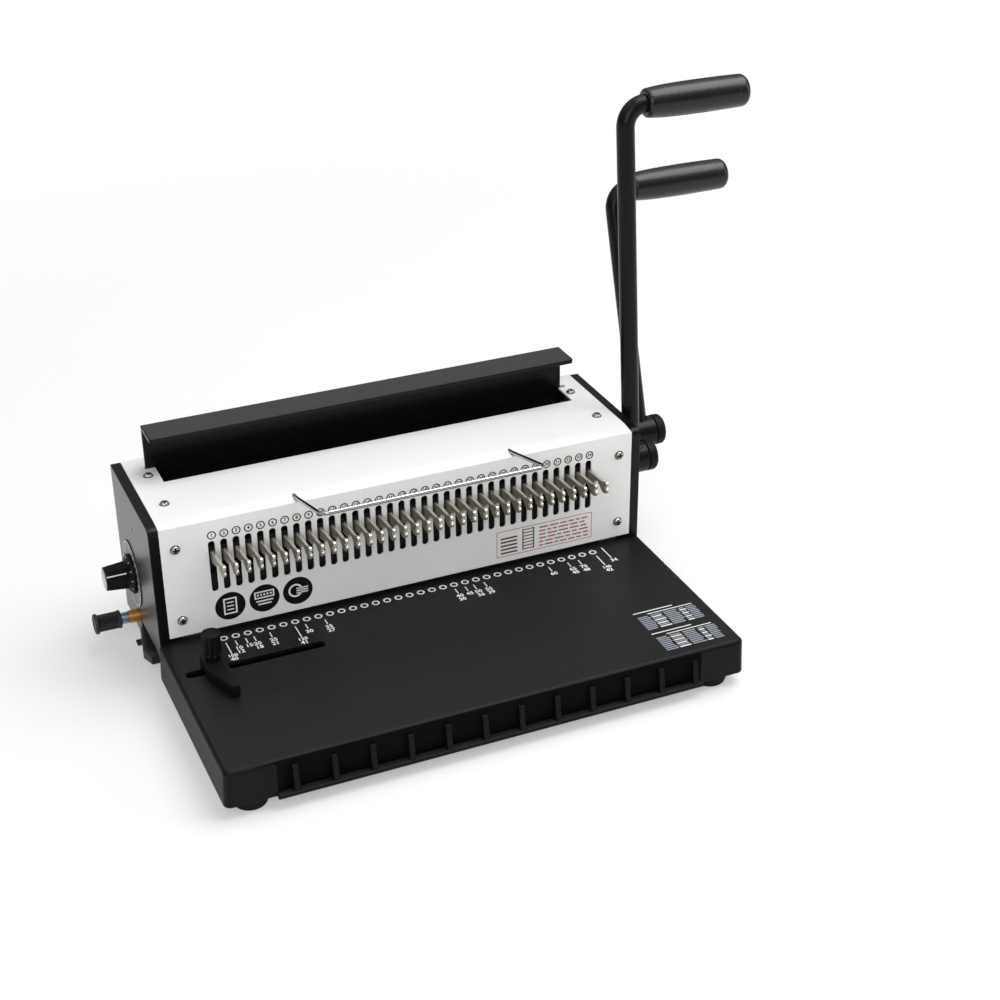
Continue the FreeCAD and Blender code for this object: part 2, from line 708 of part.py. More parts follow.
def make_front_cover():
    """The white sheet: slotted front panel, narrow sloping strip and roof with the closer's trough."""
    outline = [
        ("0", PANEL_LOW), ("0", "crease_height"), ("strip_run", "cover_top"),
        ("plate_depth - sheet", "cover_top"),
        ("plate_depth - sheet", ROOF), ("strip_run", ROOF), ("sheet", "crease_height - sheet"),
        ("sheet", PANEL_LOW),
    ]
    sheet = prism("cover_sheet", "YZ_Plane", outline, "-inner_half", "inner_half")
    deep = ("-1", "sheet + 1")
    slot = join("cover_slot", [
        box("cover_slot_middle", (f"{FIRST_HOLE} - slot_width / 2", f"{FIRST_HOLE} + slot_width / 2"), deep,
            ("slot_low + slot_width / 2", "slot_low + slot_length - slot_width / 2")),
        round_bar("cover_slot_low", "y", "slot_width / 2", *deep, x=FIRST_HOLE,
                  z="slot_low + slot_width / 2"),
        round_bar("cover_slot_high", "y", "slot_width / 2", *deep, x=FIRST_HOLE,
                  z="slot_low + slot_length - slot_width / 2"),
    ])
    tools = row_of("cover_slot", slot, SIZES["hole_count"], "hole_pitch")
    tools.append(box("cover_trough", ("trough_shift - trough_half", "trough_shift + trough_half"), ("trough_front", "anvil_face"),
                     (f"{ROOF} - 1", "cover_top + 1")))
    tools.append(box("cover_anvil_slot", ("anvil_shift - anvil_half - slip", "anvil_slot_end"),
                     ("anvil_face - 0.01", f"{ANVIL_BACK} + slip"), (f"{ROOF} - 1", "cover_top + 1")))
    for name, x, y, z, facing in screw_seats():
        axis = "y" if facing is TOWARD_USER else "z"
        span = deep if axis == "y" else (f"{ROOF} - 1", "cover_top + 1")
        tools.append(round_bar(f"hole_{name}", axis, "screw_radius + 0.2", *span, x=x, y=y, z=z))
    tools += rod_legs("cover_rod", "rod_radius + slip")
    node("front_cover", cut("front_cover_cut", sheet, tools))


def make_rear_cover():
    """The flat sheet at the back."""
    sheet = box("rear_sheet", ("-inner_half", "inner_half"), ("plate_depth - sheet", "plate_depth"),
                (TABLE, "cover_top"))
    holes = [round_bar(f"rear_hole_{i}", "y", "screw_radius + 0.2", "plate_depth - sheet - 1",
                       "plate_depth + 1", x=x, z=z)
             for i, (x, z) in enumerate(rear_places())]
    node("rear_cover", cut("rear_cover_cut", sheet, holes))


def rear_places():
    """The four screws of the rear cover."""
    return [(f"{sign}face_screw_x", f"rear_screw_{level}") for sign in ("-", "") for level in ("low",
                                                                                               "high")]


def make_blocks():
    """Tapped blocks on the side plates that take the cover screws."""
    blocks = []
    bores = []
    reach = both_ways("inner_half", "inner_half - block_reach")
    for name, x, y, z, facing in screw_seats():
        across = reach[0] if x.startswith("-") else reach[1]
        if facing is TOWARD_USER:
            blocks.append(box(f"block_{name}", across, ("sheet", "sheet + block_depth"),
                              (f"{z} - block_half", f"{z} + block_half")))
            bores.append(round_bar(f"bore_{name}", "y", "screw_radius + seat_gap", "0",
                                   "screw_length + slip", x=x, z=z))
        else:
            blocks.append(box(f"block_{name}", across, (f"{y} - block_half", f"{y} + block_half"),
                              (f"{ROOF} - block_depth", ROOF)))
            bores.append(round_bar(f"bore_{name}", "z", "screw_radius + seat_gap",
                                   "cover_top - screw_length - slip",
                                   "cover_top", x=x, y=y))
    for i, (x, z) in enumerate(rear_places()):
        across = reach[0] if x.startswith("-") else reach[1]
        blocks.append(box(f"block_rear_{i}", across,
                          ("plate_depth - sheet - block_depth", "plate_depth - sheet"),
                          (f"{z} - block_half", f"{z} + block_half")))
        bores.append(round_bar(f"bore_rear_{i}", "y", "screw_radius + seat_gap",
                               "plate_depth - screw_length - slip",
                               "plate_depth", x=x, z=z))
    node("cover_blocks", cut("cover_blocks_cut", group("block_group", blocks), bores))


def make_cover_screws(screw):
    """The screws of both covers."""
    screws = [link(f"screw_{name}", screw, facing, x=x, y=y, z=z) for name, x, y, z,
              facing in screw_seats()]
    for i, (x, z) in enumerate(rear_places()):
        screws.append(link(f"screw_rear_{i}", screw, TOWARD_BACK, x=x, y="plate_depth", z=z))
    node("cover_screws", group("cover_screw_group", screws))


def make_side_pins():
    """A small pin pressed into each side plate."""
    reach = both_ways("plate_out + side_pin_proud", "inner_half")
    node("side_pins", group("side_pin_group", [
        round_bar(f"side_pin_{i}", "x", "side_pin_radius", *across, y="side_pin_y", z="side_pin_z")
        for i, across in enumerate(reach)]))


def make_closer_frame(screw):
    """The bent anvil of the wire closer, the beam that carries it and their bolts."""
    outline = [
        (ANVIL_BACK, "anvil_foot"), (ANVIL_BACK, "anvil_top"), ("anvil_lip", "anvil_top"),
        ("anvil_lip", "anvil_top - lip_thick"), ("anvil_face", "anvil_top - lip_thick"),
        ("anvil_face", "anvil_foot"),
    ]
    plate = prism("anvil_body", "YZ_Plane", outline, "anvil_shift - anvil_half", "anvil_shift + anvil_half")
    soften(plate, "lip_corner", lambda edge: 1 < edge.BoundBox.ZLength < SIZES["lip_thick"] + 0.1)
    bolt_z = "anvil_foot + beam_height / 2 + 2"
    beam = box("beam_block", ("-inner_half", "inner_half"), (ANVIL_BACK, f"{ANVIL_BACK} + beam_depth"),
               ("anvil_foot + 2", "anvil_foot + 2 + beam_height"))
    spots = ["-bolt_outer", "-bolt_inner", "bolt_inner", "bolt_outer"]
    through = [round_bar(f"anvil_hole_{i}", "y", "screw_radius + 0.2", "anvil_face - 1",
                         f"{ANVIL_BACK} + 0.01",
                         x=x, z=bolt_z) for i, x in enumerate(spots)]
    tapped = [round_bar(f"beam_hole_{i}", "y", "screw_radius + seat_gap", f"{ANVIL_BACK} - 0.01",
                        "anvil_face + screw_length + slip", x=x, z=bolt_z) for i, x in enumerate(spots)]
    node("closer_anvil", cut("closer_anvil_cut", plate, through))
    node("anvil_beam", cut("anvil_beam_cut", beam, tapped))
    node("anvil_bolts", group("anvil_bolt_group", [
        link(f"anvil_bolt_{i}", screw, TOWARD_USER, x=x, y="anvil_face", z=bolt_z) for i,
        x in enumerate(spots)]))


def make_punch_set():
    """Die, spacers and guide around the paper gap, and the bar with its row of square pins."""
    def holes(name, low, high):
        half = "(pin_side / 2 + pin_gap)"
        first = box(name, (f"{FIRST_HOLE} - {half}", f"{FIRST_HOLE} + {half}"),
                    (f"pin_inset - {half}", f"pin_inset + {half}"), (f"{low} - 1", f"{high} + 1"))
        return row_of(name, first, SIZES["hole_count"], "hole_pitch")
    deep = ("die_front", "die_back")
    die_low = f"{TABLE} - die_thick"
    die = box("die_block", ("-die_half", "die_half"), deep, (die_low, TABLE))
    node("die_plate", cut("die_plate_cut", die, holes("die_hole", die_low, TABLE)))
    guide = box("guide_block", ("-inner_half", "inner_half"), deep, (PANEL_LOW, GUIDE_TOP))
    node("punch_guide", cut("punch_guide_cut", guide, holes("guide_hole", PANEL_LOW, GUIDE_TOP)))
    node("die_spacers", group("spacer_group", [
        box(f"spacer_{i}", across, deep, (TABLE, PANEL_LOW)) for i,
        across in enumerate(both_ways("die_half", "spacer_inner"))]))
    node("punch_bar", box("punch_bar_block", ("-punch_half", "punch_half"), (PUNCH_FRONT, PUNCH_BACK),
                          ("punch_low", PUNCH_TOP)))
    pin = box("pin", (f"{FIRST_HOLE} - pin_side / 2", f"{FIRST_HOLE} + pin_side / 2"),
              ("pin_inset - pin_side / 2", "pin_inset + pin_side / 2"),
              (f"{PANEL_LOW} + pin_lift", "punch_low"))
    node("punch_pins", group("pin_group", row_of("pin", pin, SIZES["hole_count"], "hole_pitch")))


def make_gear(name, teeth):
    """A pinion about the local X axis with one tooth towards +Y, bored for its shaft."""
    pitch_radius = f"(tooth_module * {teeth} / 2)"
    root = f"({pitch_radius} - 1.25 * tooth_module)"
    tip = f"({pitch_radius} + 0.9 * tooth_module)"
    half = "(3.14159 * tooth_module / 4 - tooth_play / 2)"
    across = ("-gear_width / 2", "gear_width / 2")
    tooth = prism(f"{name}_tooth", "YZ_Plane", [
        (f"{root} - 0.5", f"-{half} * 1.2"), (pitch_radius, f"-{half}"), (tip, f"-{half} * 0.45"),
        (tip, f"{half} * 0.45"), (pitch_radius, half), (f"{root} - 0.5", f"{half} * 1.2"),
    ], *across, local=True)
    count = SIZES[teeth]
    wheel = [round_bar(f"{name}_disc", "x", root, *across, local=True), tooth]
    for step in range(1, count):
        wheel.append(link(f"{name}_tooth_{step}", tooth, Rotation(Vector(1, 0, 0), 360.0 * step / count),
                          relative=True))
    bore = round_bar(f"{name}_bore", "x", "shaft_radius + seat_gap", "-gear_width", "gear_width",
                     local=True)
    return cut(f"{name}_cut", join(f"{name}_wheel", wheel), [bore])


def make_rack(name, side, back, pitch_y, facing, low, high, first, count):
    """A rack beside its pinion: side is its middle in X, facing +1 or -1 is where its teeth point in Y."""
    sign = "" if facing > 0 else "-"
    reach = f"{pitch_y} {'+' if facing > 0 else '-'}"
    across = (f"{side} - gear_width / 2", f"{side} + gear_width / 2")
    half = "(3.14159 * tooth_module / 4 - tooth_play / 2)"
    slope = "(tooth_module * 0.34)"
    root = f"{reach} (-1.25 * tooth_module)"
    tip = f"{reach} (0.85 * tooth_module)"
    middle = f"shaft_z + ({first} + 0.5) * 3.14159 * tooth_module"
    tooth = prism(f"{name}_tooth", "YZ_Plane", [
        (f"{reach} (-1.25 * tooth_module - 0.5)", f"{middle} - {half} - {slope} * 1.25"),
        (tip, f"{middle} - {half} + {slope}"),
        (tip, f"{middle} + {half} - {slope}"), (f"{reach} (-1.25 * tooth_module - 0.5)",
                                                f"{middle} + {half} + {slope} * 1.25"),
    ], *across)
    body = box(f"{name}_body", across, (back, root) if facing > 0 else (root, back), (low, high))
    return join(f"{name}_rack", [body] + row_of(f"{name}_tooth", tooth, count, "3.14159 * tooth_module",
                                                "z"))


def make_drive():
    """The press bar, both pairs of racks and pinions, the shafts, their bushes and the stop finger."""
    node("press_bar", box("press_block", ("-press_half", "press_half"), ("press_front", "press_back"),
                          (PRESS_LOW, "press_top")))
    punch_pitch_y = f"(punch_y - {PUNCH_PITCH_RADIUS})"
    closer_pitch_y = f"(closer_y + {CLOSER_PITCH_RADIUS})"
    node("punch_racks", group("punch_rack_group", [
        make_rack(f"punch_rack_{i}", f"{sign}punch_gear_x", PUNCH_BACK, punch_pitch_y, 1, "punch_low",
                  "shaft_z + 24", -2, 7) for i, sign in enumerate(("-", ""))]))
    node("press_racks", group("press_rack_group", [
        make_rack(f"press_rack_{i}", f"{sign}closer_gear_x", "press_back", closer_pitch_y, -1,
                  "shaft_z - 36",
                  PRESS_LOW, -7, 9) for i, sign in enumerate(("-", ""))]))
    punch_gear = make_gear("punch_gear", "punch_teeth")
    closer_gear = make_gear("closer_gear", "closer_teeth")
    half_turn = Rotation(Vector(1, 0, 0), 180)
    node("punch_pinions", group("punch_pinion_group", [
        link(f"punch_pinion_{i}", punch_gear, half_turn, x=f"{sign}punch_gear_x", y="punch_y", z="shaft_z")
        for i, sign in enumerate(("-", ""))]))
    node("closer_pinions", group("closer_pinion_group", [
        link(f"closer_pinion_{i}", closer_gear, x=f"{sign}closer_gear_x", y="closer_y", z="shaft_z")
        for i, sign in enumerate(("-", ""))]))
    for name in ("punch", "closer"):
        node(f"{name}_shaft", round_bar(f"{name}_shaft_bar", "x", "shaft_radius",
                                        "-inner_half - blind_depth + slip",
                                        f"{name}_tube_x + hub_outer", y=f"{name}_y", z="shaft_z"))
    bushes = []
    for name in ("punch", "closer"):
        at = {"y": f"{name}_y", "z": "shaft_z"}
        for side, sleeve, flange in (
                ("left", ("-inner_half - blind_depth", "-inner_half"),
                 ("-inner_half", "flange_thick - inner_half")),
                ("right", ("inner_half", "plate_out"), ("inner_half - flange_thick", "inner_half"))):
            blank = join(f"bush_{name}_{side}_blank", [
                round_bar(f"bush_{name}_{side}_sleeve", "x", "bush_radius", *sleeve, **at),
                round_bar(f"bush_{name}_{side}_flange", "x", "flange_radius", *flange, **at)])
            bore = round_bar(f"bush_{name}_{side}_bore", "x", "shaft_radius + running_gap",
                             f"{sleeve[0]} - 3", f"{flange[1]} + 20", **at)
            bushes.append(cut(f"bush_{name}_{side}", blank, [bore]))
    node("shaft_bushes", group("bush_group", bushes))
    finger = join("finger_blank", [
        round_bar("finger_ring", "x", "bush_radius", "-cam_x - cam_width / 2", "-cam_x + cam_width / 2",
                  y="closer_y", z="shaft_z"),
        box("finger_arm", ("-cam_x - cam_width / 2", "-cam_x + cam_width / 2"),
            ("closer_y - finger_length", "closer_y"), ("shaft_z - 4", "shaft_z + 4"))])
    node("stop_finger", cut("stop_finger_cut", finger, [
        round_bar("finger_bore", "x", "shaft_radius + seat_gap", "-cam_x - cam_width", "-cam_x + cam_width",
                  y="closer_y", z="shaft_z")]))


def make_lever(name):
    """One lever: hub with end cap, bent tube and grip. The tube is drawn upright, then leaned back."""
    tube_x = f"{name}_tube_x"
    at = {"y": f"{name}_y", "z": "shaft_z"}
    reach = f"{name}_reach"
    straight = f"({reach} - bend_radius)"
    foot = "(shaft_radius + 2)"
    upright_bar = round_bar(f"{name}_tube_upright", "z", "tube_radius", foot, straight, local=True)
    bend = doc.addObject("Part::Torus", f"{name}_tube_bend")
    bend.setExpression("Radius1", tied("bend_radius"))
    bend.setExpression("Radius2", tied("tube_radius"))
    bend.Angle3 = 90
    bend.Placement = Placement(Vector(), Rotation(Vector(1, 0, 0), 90) * Rotation(Vector(0, 0, 1), 90))
    place(bend, x="bend_radius", z=straight, local=True)
    level_bar = round_bar(f"{name}_tube_level", "x", "tube_radius", "bend_radius",
                          "bend_radius + grip_length - 12",
                          z=reach, local=True)
    tube = join(f"{name}_tube_join", [upright_bar, bend, level_bar])
    tube.Placement = Placement(Vector(), Rotation(Vector(-1, 0, 0), 1))
    tube.setExpression("Placement.Rotation.Angle", tied(f"{name}_lean"))
    place(tube, x=tube_x, **at)
    node(f"{name}_lever_tube", tube)

    blank = round_bar(f"{name}_hub_blank", "x", "hub_radius", f"{tube_x} - hub_inner",
                      f"{tube_x} + hub_outer", **at)
    shaft_hole = round_bar(f"{name}_hub_bore", "x", "shaft_radius + seat_gap", f"{tube_x} - hub_inner - 1",
                           f"{tube_x} + hub_outer + 1", **at)
    tube_hole = round_bar(f"{name}_hub_socket", "z", "tube_radius + seat_gap", foot, "hub_radius * 2",
                          local=True)
    socket = doc.addObject("Part::Compound", f"{name}_hub_socket_turned")
    socket.Links = [tube_hole]
    socket.Placement = Placement(Vector(), Rotation(Vector(-1, 0, 0), 1))
    socket.setExpression("Placement.Rotation.Angle", tied(f"{name}_lean"))
    place(socket, x=tube_x, **at)
    node(f"{name}_hub", cut(f"{name}_hub_cut", blank, [shaft_hole, socket]))

    cap = turned(f"{name}_cap_turned", "x", [
        ("0", "0"), ("0", "hub_radius - 1.4"), ("cap_neck", "hub_radius - 1.4"), ("cap_neck", "hub_radius"),
        ("cap_length", "hub_radius"), ("cap_length", "0"),
    ], x=f"{tube_x} + hub_outer", **at)
    end = SIZES["cap_length"]
    soften(cap, "cap_round", lambda edge: edge.BoundBox.XMin > end - 1e-6)
    node(f"{name}_hub_cap", cap)

    grip = turned(f"{name}_grip_turned", "x", [
        ("0", "tube_radius + seat_gap"), ("0", "grip_start_radius"),
        ("grip_length * 0.16", "grip_start_radius * 0.4 + grip_radius * 0.6"),
        ("grip_length * 0.4", "grip_radius"), ("grip_length", "grip_radius"), ("grip_length", "0"),
        ("grip_length - 12", "0"), ("grip_length - 12", "tube_radius + seat_gap"),
    ], x=f"{tube_x} + bend_radius", y=f"{name}_y + {reach} * sin({name}_lean)",
                  z=f"shaft_z + {reach} * cos({name}_lean)")
    far = SIZES["grip_length"]
    soften(grip, "grip_round", lambda edge: edge.BoundBox.XMin > far - 1e-6)
    soften(grip, "cap_neck", lambda edge: edge.BoundBox.XMax < 1e-6
           and edge.BoundBox.YLength > 2 * SIZES["grip_start_radius"] - 0.1)
    node(f"{name}_grip", grip)


def make_closer_sleeve():
    """The distance sleeve that sets the closer lever further out than the punch lever."""
    blank = round_bar("sleeve_blank", "x", "sleeve_radius", "plate_out + slip", "closer_tube_x - hub_inner",
                      y="closer_y", z="shaft_z")
    bore = round_bar("sleeve_bore", "x", "shaft_radius + seat_gap", "plate_out", "closer_tube_x",
                     y="closer_y", z="shaft_z")
    node("closer_sleeve", cut("sleeve_cut", blank, [bore]))


def make_hooks():
    """The row of flat hooks that hold the wire in front of the panel, and the bar that carries them."""
    nose = "-hook_reach"
    outline = [
        ("hook_bar_front", "hook_low"), ("-8.7", "hook_heel - 0.9"), ("-10.5", "hook_heel"),
        ("-12.5", "hook_arch - 1.6"), ("-15.5", "hook_arch"), ("-18", "hook_arch - 0.6"),
        (f"{nose} + 10.4", "hook_heel + 2.6"), (f"{nose} + 8.4", "hook_heel + 1"),
        (f"{nose} + 5.9", "hook_heel"), (f"{nose} + 3.4", "hook_heel"), (f"{nose} + 1.1", "hook_heel + 1.3"),
        (nose, "hook_heel + 3.5"), (nose, "hook_tip - 2.4"), (f"{nose} + 0.8", "hook_tip - 0.6"),
        (f"{nose} + 2.4", "hook_tip"), (f"{nose} + 4.4", "hook_tip - 0.4"),
        (f"{nose} + 6.9", "hook_tip - 1.4"), ("-16", "hook_high + 0.8"), ("hook_bar_front", "hook_high"),
    ]
    hook = prism("hook_body", "YZ_Plane", outline, f"{FIRST_HOLE} - hook_thick / 2",
                 f"{FIRST_HOLE} + hook_thick / 2")
    node("wire_hooks", group("hook_group", row_of("hook", hook, SIZES["hole_count"], "hole_pitch")))
    bar = [box("hook_bar_block", ("-inner_half", "inner_half"), ("hook_bar_front", "hook_bar_back"),
               ("hook_bar_low", "hook_high + 0.6"))]
    for i, across in enumerate(both_ways("punch_spring_x + 4", "punch_spring_x - 4")):
        bar.append(box(f"spring_tab_{i}", across, ("hook_bar_back", f"{PUNCH_BACK} - film"),
                       ("hook_bar_high - 2", "hook_bar_high")))
    node("hook_bar", join("hook_bar_join", bar))


def rod_frame(piece):
    """Lean a piece drawn in the rod's own plane and carry it to the rod's root."""
    piece.Placement = Placement(Vector(), Rotation(Vector(-1, 0, 0), 1))
    piece.setExpression("Placement.Rotation.Angle", tied("rod_lift"))
    place(piece, x="rod_shift", y="rod_root_y", z="rod_root_z")
    return piece


def rod_legs(name, radius):
    """Two bars where the rod's legs pass through a sheet or a block."""
    legs = []
    for i, sign in enumerate(("-", "")):
        leg = round_bar(f"{name}_leg_{i}", "y", radius, "-rod_reach / 2", "rod_tail", x=f"{sign}rod_half",
                        local=True)
        legs.append(rod_frame(group(f"{name}_leaned_{i}", [leg])))
    return legs


def make_rod():
    """The chrome rod bent to a wide U, and the two blocks under the roof that hold its legs."""
    straight = "(rod_reach - rod_bend)"
    bars = [round_bar("rod_cross", "x", "rod_radius", "rod_bend - rod_half", "rod_half - rod_bend",
                      y="-rod_reach", local=True)]
    for i, (sign, turn) in enumerate((("-", 180), ("", -90))):
        bars.append(round_bar(f"rod_leg_{i}", "y", "rod_radius", f"-{straight}", "rod_tail",
                              x=f"{sign}rod_half", local=True))
        bend = doc.addObject("Part::Torus", f"rod_bend_{i}")
        bend.setExpression("Radius1", tied("rod_bend"))
        bend.setExpression("Radius2", tied("rod_radius"))
        bend.Angle3 = 90
        bend.Placement = Placement(Vector(), Rotation(Vector(0, 0, 1), turn))
        middle = "rod_bend - rod_half" if sign else "rod_half - rod_bend"
        place(bend, x=middle, y=f"-{straight}", local=True)
        bars.append(bend)
    node("wire_rod", rod_frame(join("rod_join", bars)))
    blocks = [box(f"rod_block_{i}", across, ("strip_run + slip", "strip_run + 12"),
                  (f"{ROOF} - block_depth", ROOF))
              for i, across in enumerate((
                  ("rod_shift - rod_half - 5", "rod_shift - rod_half + 5"),
                  ("rod_shift + rod_half - 5", "rod_shift + rod_half + 5")))]
    node("rod_blocks", cut("rod_block_cut", group("rod_block_group", blocks),
                           rod_legs("rod_bore", "rod_radius + seat_gap")))


def make_dial():
    """The dial that limits how far the wire is closed: scale, pointer knob, shaft and cam."""
    at = {"y": "dial_y", "z": "dial_z"}
    outer = "plate_out"
    scale = round_bar("scale_blank", "x", "scale_radius", f"-{outer} - scale_thick", f"-{outer}", **at)
    node("dial_scale", cut("scale_cut", scale, [
        round_bar("scale_hole", "x", "dial_shaft + slip", f"-{outer} - 2", f"1 - {outer}", **at)]))
    start = f"(-{outer} - scale_thick - slip)"
    knob = turned("dial_turned", "x", [
        ("0", "dial_shaft + seat_gap"), ("0", "skirt_radius"), ("-skirt_thick * 0.4", "skirt_radius - 0.4"),
        ("-skirt_thick", "dial_radius"), ("-dial_length", "dial_top_radius"), ("-dial_length", "0"),
        ("-dial_length + 3", "0"), ("-dial_length + 3", "dial_shaft + seat_gap"),
    ], x=start, **at)
    face = -SIZES["dial_length"]
    soften(knob, "cap_neck", lambda edge: edge.BoundBox.XMax < face + 1e-6)
    node("dial_knob", knob)
    node("dial_cap", turned("dial_cap_turned", "x", [
        ("0", "0"), ("0", "dial_cap_radius"), ("-dial_cap_thick * 0.6", "dial_cap_radius"),
        ("-dial_cap_thick", "dial_cap_radius - 0.6"), ("-dial_cap_thick", "0"),
    ], x=f"{start} - dial_length", **at))
    node("dial_shaft", round_bar("dial_shaft_bar", "x", "dial_shaft", f"{start} - dial_length + 3",
                                 "-cam_x + cam_width / 2 + 2", **at))
    cam = round_bar("cam_blank", "x", "cam_radius", "-cam_x - cam_width / 2", "-cam_x + cam_width / 2",
                    y="dial_y", z="dial_z - cam_throw")
    node("stop_cam", cut("cam_cut", cam, [
        round_bar("cam_bore", "x", "dial_shaft + seat_gap", "-cam_x - cam_width", "-cam_x + cam_width",
                  **at)]))


def make_margin():
    """The margin knob with its collar, spring, shaft and discs, and the stop bar behind the pins."""
    at = {"y": "margin_y", "z": "margin_z"}
    outer = "plate_out"
    collar = round_bar("collar_blank", "x", "collar_radius", f"-{outer} - collar_reach", "-inner_half",
                       **at)
    node("margin_collar", cut("collar_cut", collar, [
        round_bar("collar_bore", "x", "margin_shaft + running_gap", f"-{outer} - 10", "1 - inner_half",
                  **at)]))
    knob = turned("margin_turned", "x", [
        ("0", "margin_shaft + seat_gap"), ("0", "margin_flange * 0.9"),
        ("-margin_flange_thick", "margin_flange * 0.9"),
        ("-margin_flange_thick - 0.6", "margin_body"),
        ("margin_flange_thick + 0.6 - margin_grip", "margin_body"),
        ("margin_flange_thick - margin_grip", "margin_flange"), ("-margin_grip", "margin_flange"),
        ("-margin_grip", "0"),
        ("-margin_grip + 3", "0"), ("-margin_grip + 3", "margin_shaft + seat_gap"),
    ], x=f"margin_grip - {LEFT_END}", **at)
    last = -SIZES["margin_grip"]
    soften(knob, "cap_neck", lambda edge: edge.BoundBox.XMax < last + 1e-6)
    span = (f"3.2 - {LEFT_END}", f"margin_grip - 3.2 - {LEFT_END}")
    count = SIZES["margin_flutes"]
    grooves = []
    for step in range(count):
        angle = 360.0 * step / count
        grooves.append(round_bar(f"margin_groove_{step}", "x", "margin_flute", *span,
                                 y=f"margin_y + (margin_body + 0.2) * cos({angle})",
                                 z=f"margin_z + (margin_body + 0.2) * sin({angle})"))
    node("margin_knob", cut("margin_knob_cut", knob, grooves))
    node("margin_shaft", round_bar("margin_shaft_bar", "x", "margin_shaft", f"3 - {LEFT_END}",
                                   "margin_end", **at))
    space = "(margin_reach - margin_grip - collar_reach - 2 * slip)"
    coil = make_spring("margin_coil", "spring_wire * 0.8", space, "margin_shaft + spring_wire + film")
    node("margin_spring", link("margin_spring_link", coil, TOWARD_LEFT,
                               x=f"-{outer} - collar_reach - slip", **at))
    discs = [round_bar(f"disc_{i}", "x", "margin_disc", *across, y="margin_y - margin_throw", z="margin_z")
             for i, across in enumerate(both_ways("stop_arm_x + stop_arm_width / 2 - 1",
                                                  "stop_arm_x - stop_arm_width / 2 + 1"))]
    node("margin_discs", cut("disc_cut", group("disc_group", discs), [
        round_bar("disc_bore", "x", "margin_shaft + seat_gap", "-stop_arm_x - 20", "stop_arm_x + 20",
                  **at)]))
    level = (f"{TABLE} + slip * 0.7", f"{PANEL_LOW} - slip")
    tab_y = ("margin_y + margin_disc - margin_throw + 0.6", "margin_y + margin_disc - margin_throw + 2.6")
    stop = [box("stop_bar", ("-stop_half", "stop_half"), ("stop_front", "stop_front + stop_depth"), level)]
    for i, across in enumerate(both_ways("stop_arm_x + stop_arm_width / 2",
                                         "stop_arm_x - stop_arm_width / 2")):
        stop.append(box(f"stop_arm_{i}", across, ("stop_front", tab_y[1]), level))
        stop.append(box(f"stop_tab_{i}", across, tab_y, ("margin_z - margin_disc", level[1])))
    node("depth_stop", join("depth_stop_join", stop))


def make_paper_guide():
    """The side guide for the paper: arm with a tongue in the table's slot, clamp knob, screw and nut."""
    at = {"x": "-guide_x", "y": "-guide_slot_y"}
    plan = [
        ("guide_face - guide_x", "-guide_front"), ("guide_face - guide_x", "-guide_rear"),
        ("-guide_face - guide_x", "-guide_rear"),
        ("-guide_face - guide_x", "-guide_slot_y - guide_face - 2"),
        ("guide_face - 5 - guide_x", "-guide_front"),
    ]
    arm = prism("guide_arm_body", "XY_Plane", plan, f"{TABLE} + slip * 0.7", f"{TABLE} + guide_height")
    tongue = box("guide_tongue", ("-guide_x - 6", "-guide_x + 6"),
                 ("slip - guide_slot_y - guide_slot_width / 2",
                  "guide_slot_width / 2 - slip - guide_slot_y"),
                 (f"{TABLE} - base_wall + 0.5", f"{TABLE} + 1"))
    bore = round_bar("guide_bore", "z", "guide_screw + slip", f"{TABLE} - 10", f"{TABLE} + 20", **at)
    node("guide_arm", cut("guide_arm_cut", join("guide_arm_join", [arm, tongue]), [bore]))
    seat = f"({TABLE} + guide_height + slip)"
    knob = turned("guide_knob_turned", "z", [
        ("0", "guide_screw + seat_gap"), ("0", "guide_knob_foot"),
        ("guide_knob_top - guide_height - slip - 2", "guide_knob_radius"),
        ("guide_knob_top - guide_height - slip", "guide_knob_radius - 1"),
        ("guide_knob_top - guide_height - slip", "guide_knob_radius - 2.2"),
        ("guide_knob_top - guide_height - slip - 1.2", "guide_knob_radius - 2.6"),
        ("guide_knob_top - guide_height - slip - 1.2", "0"),
        ("9", "0"), ("9", "guide_screw + seat_gap"),
    ], z=seat, **at)
    flutes = []
    count = SIZES["guide_flutes"]
    for step in range(count):
        angle = 360.0 * step / count
        flutes.append(round_bar(f"guide_flute_{step}", "z", "guide_flute", f"{seat} + 3",
                                f"{seat} + guide_knob_top - guide_height - 3",
                                x=f"-guide_x + (guide_knob_radius + 0.4) * cos({angle})",
                                y=f"-guide_slot_y + (guide_knob_radius + 0.4) * sin({angle})"))
    node("guide_knob", cut("guide_knob_cut", knob, flutes))
    node("guide_screw", round_bar("guide_screw_bar", "z", "guide_screw", f"{TABLE} - base_wall - 7",
                                  f"{seat} + 9", **at))
    nut_top = f"{TABLE} - base_wall - slip"
    nut = box("guide_nut_block", ("-guide_x - 6", "-guide_x + 6"),
              ("-guide_slot_y - 6", "6 - guide_slot_y"),
              (f"{nut_top} - 3.2", nut_top))
    node("guide_nut", cut("guide_nut_cut", nut, [
        round_bar("guide_nut_bore", "z", "guide_screw + running_gap", f"{nut_top} - 5", f"{nut_top} + 2",
                  **at)]))


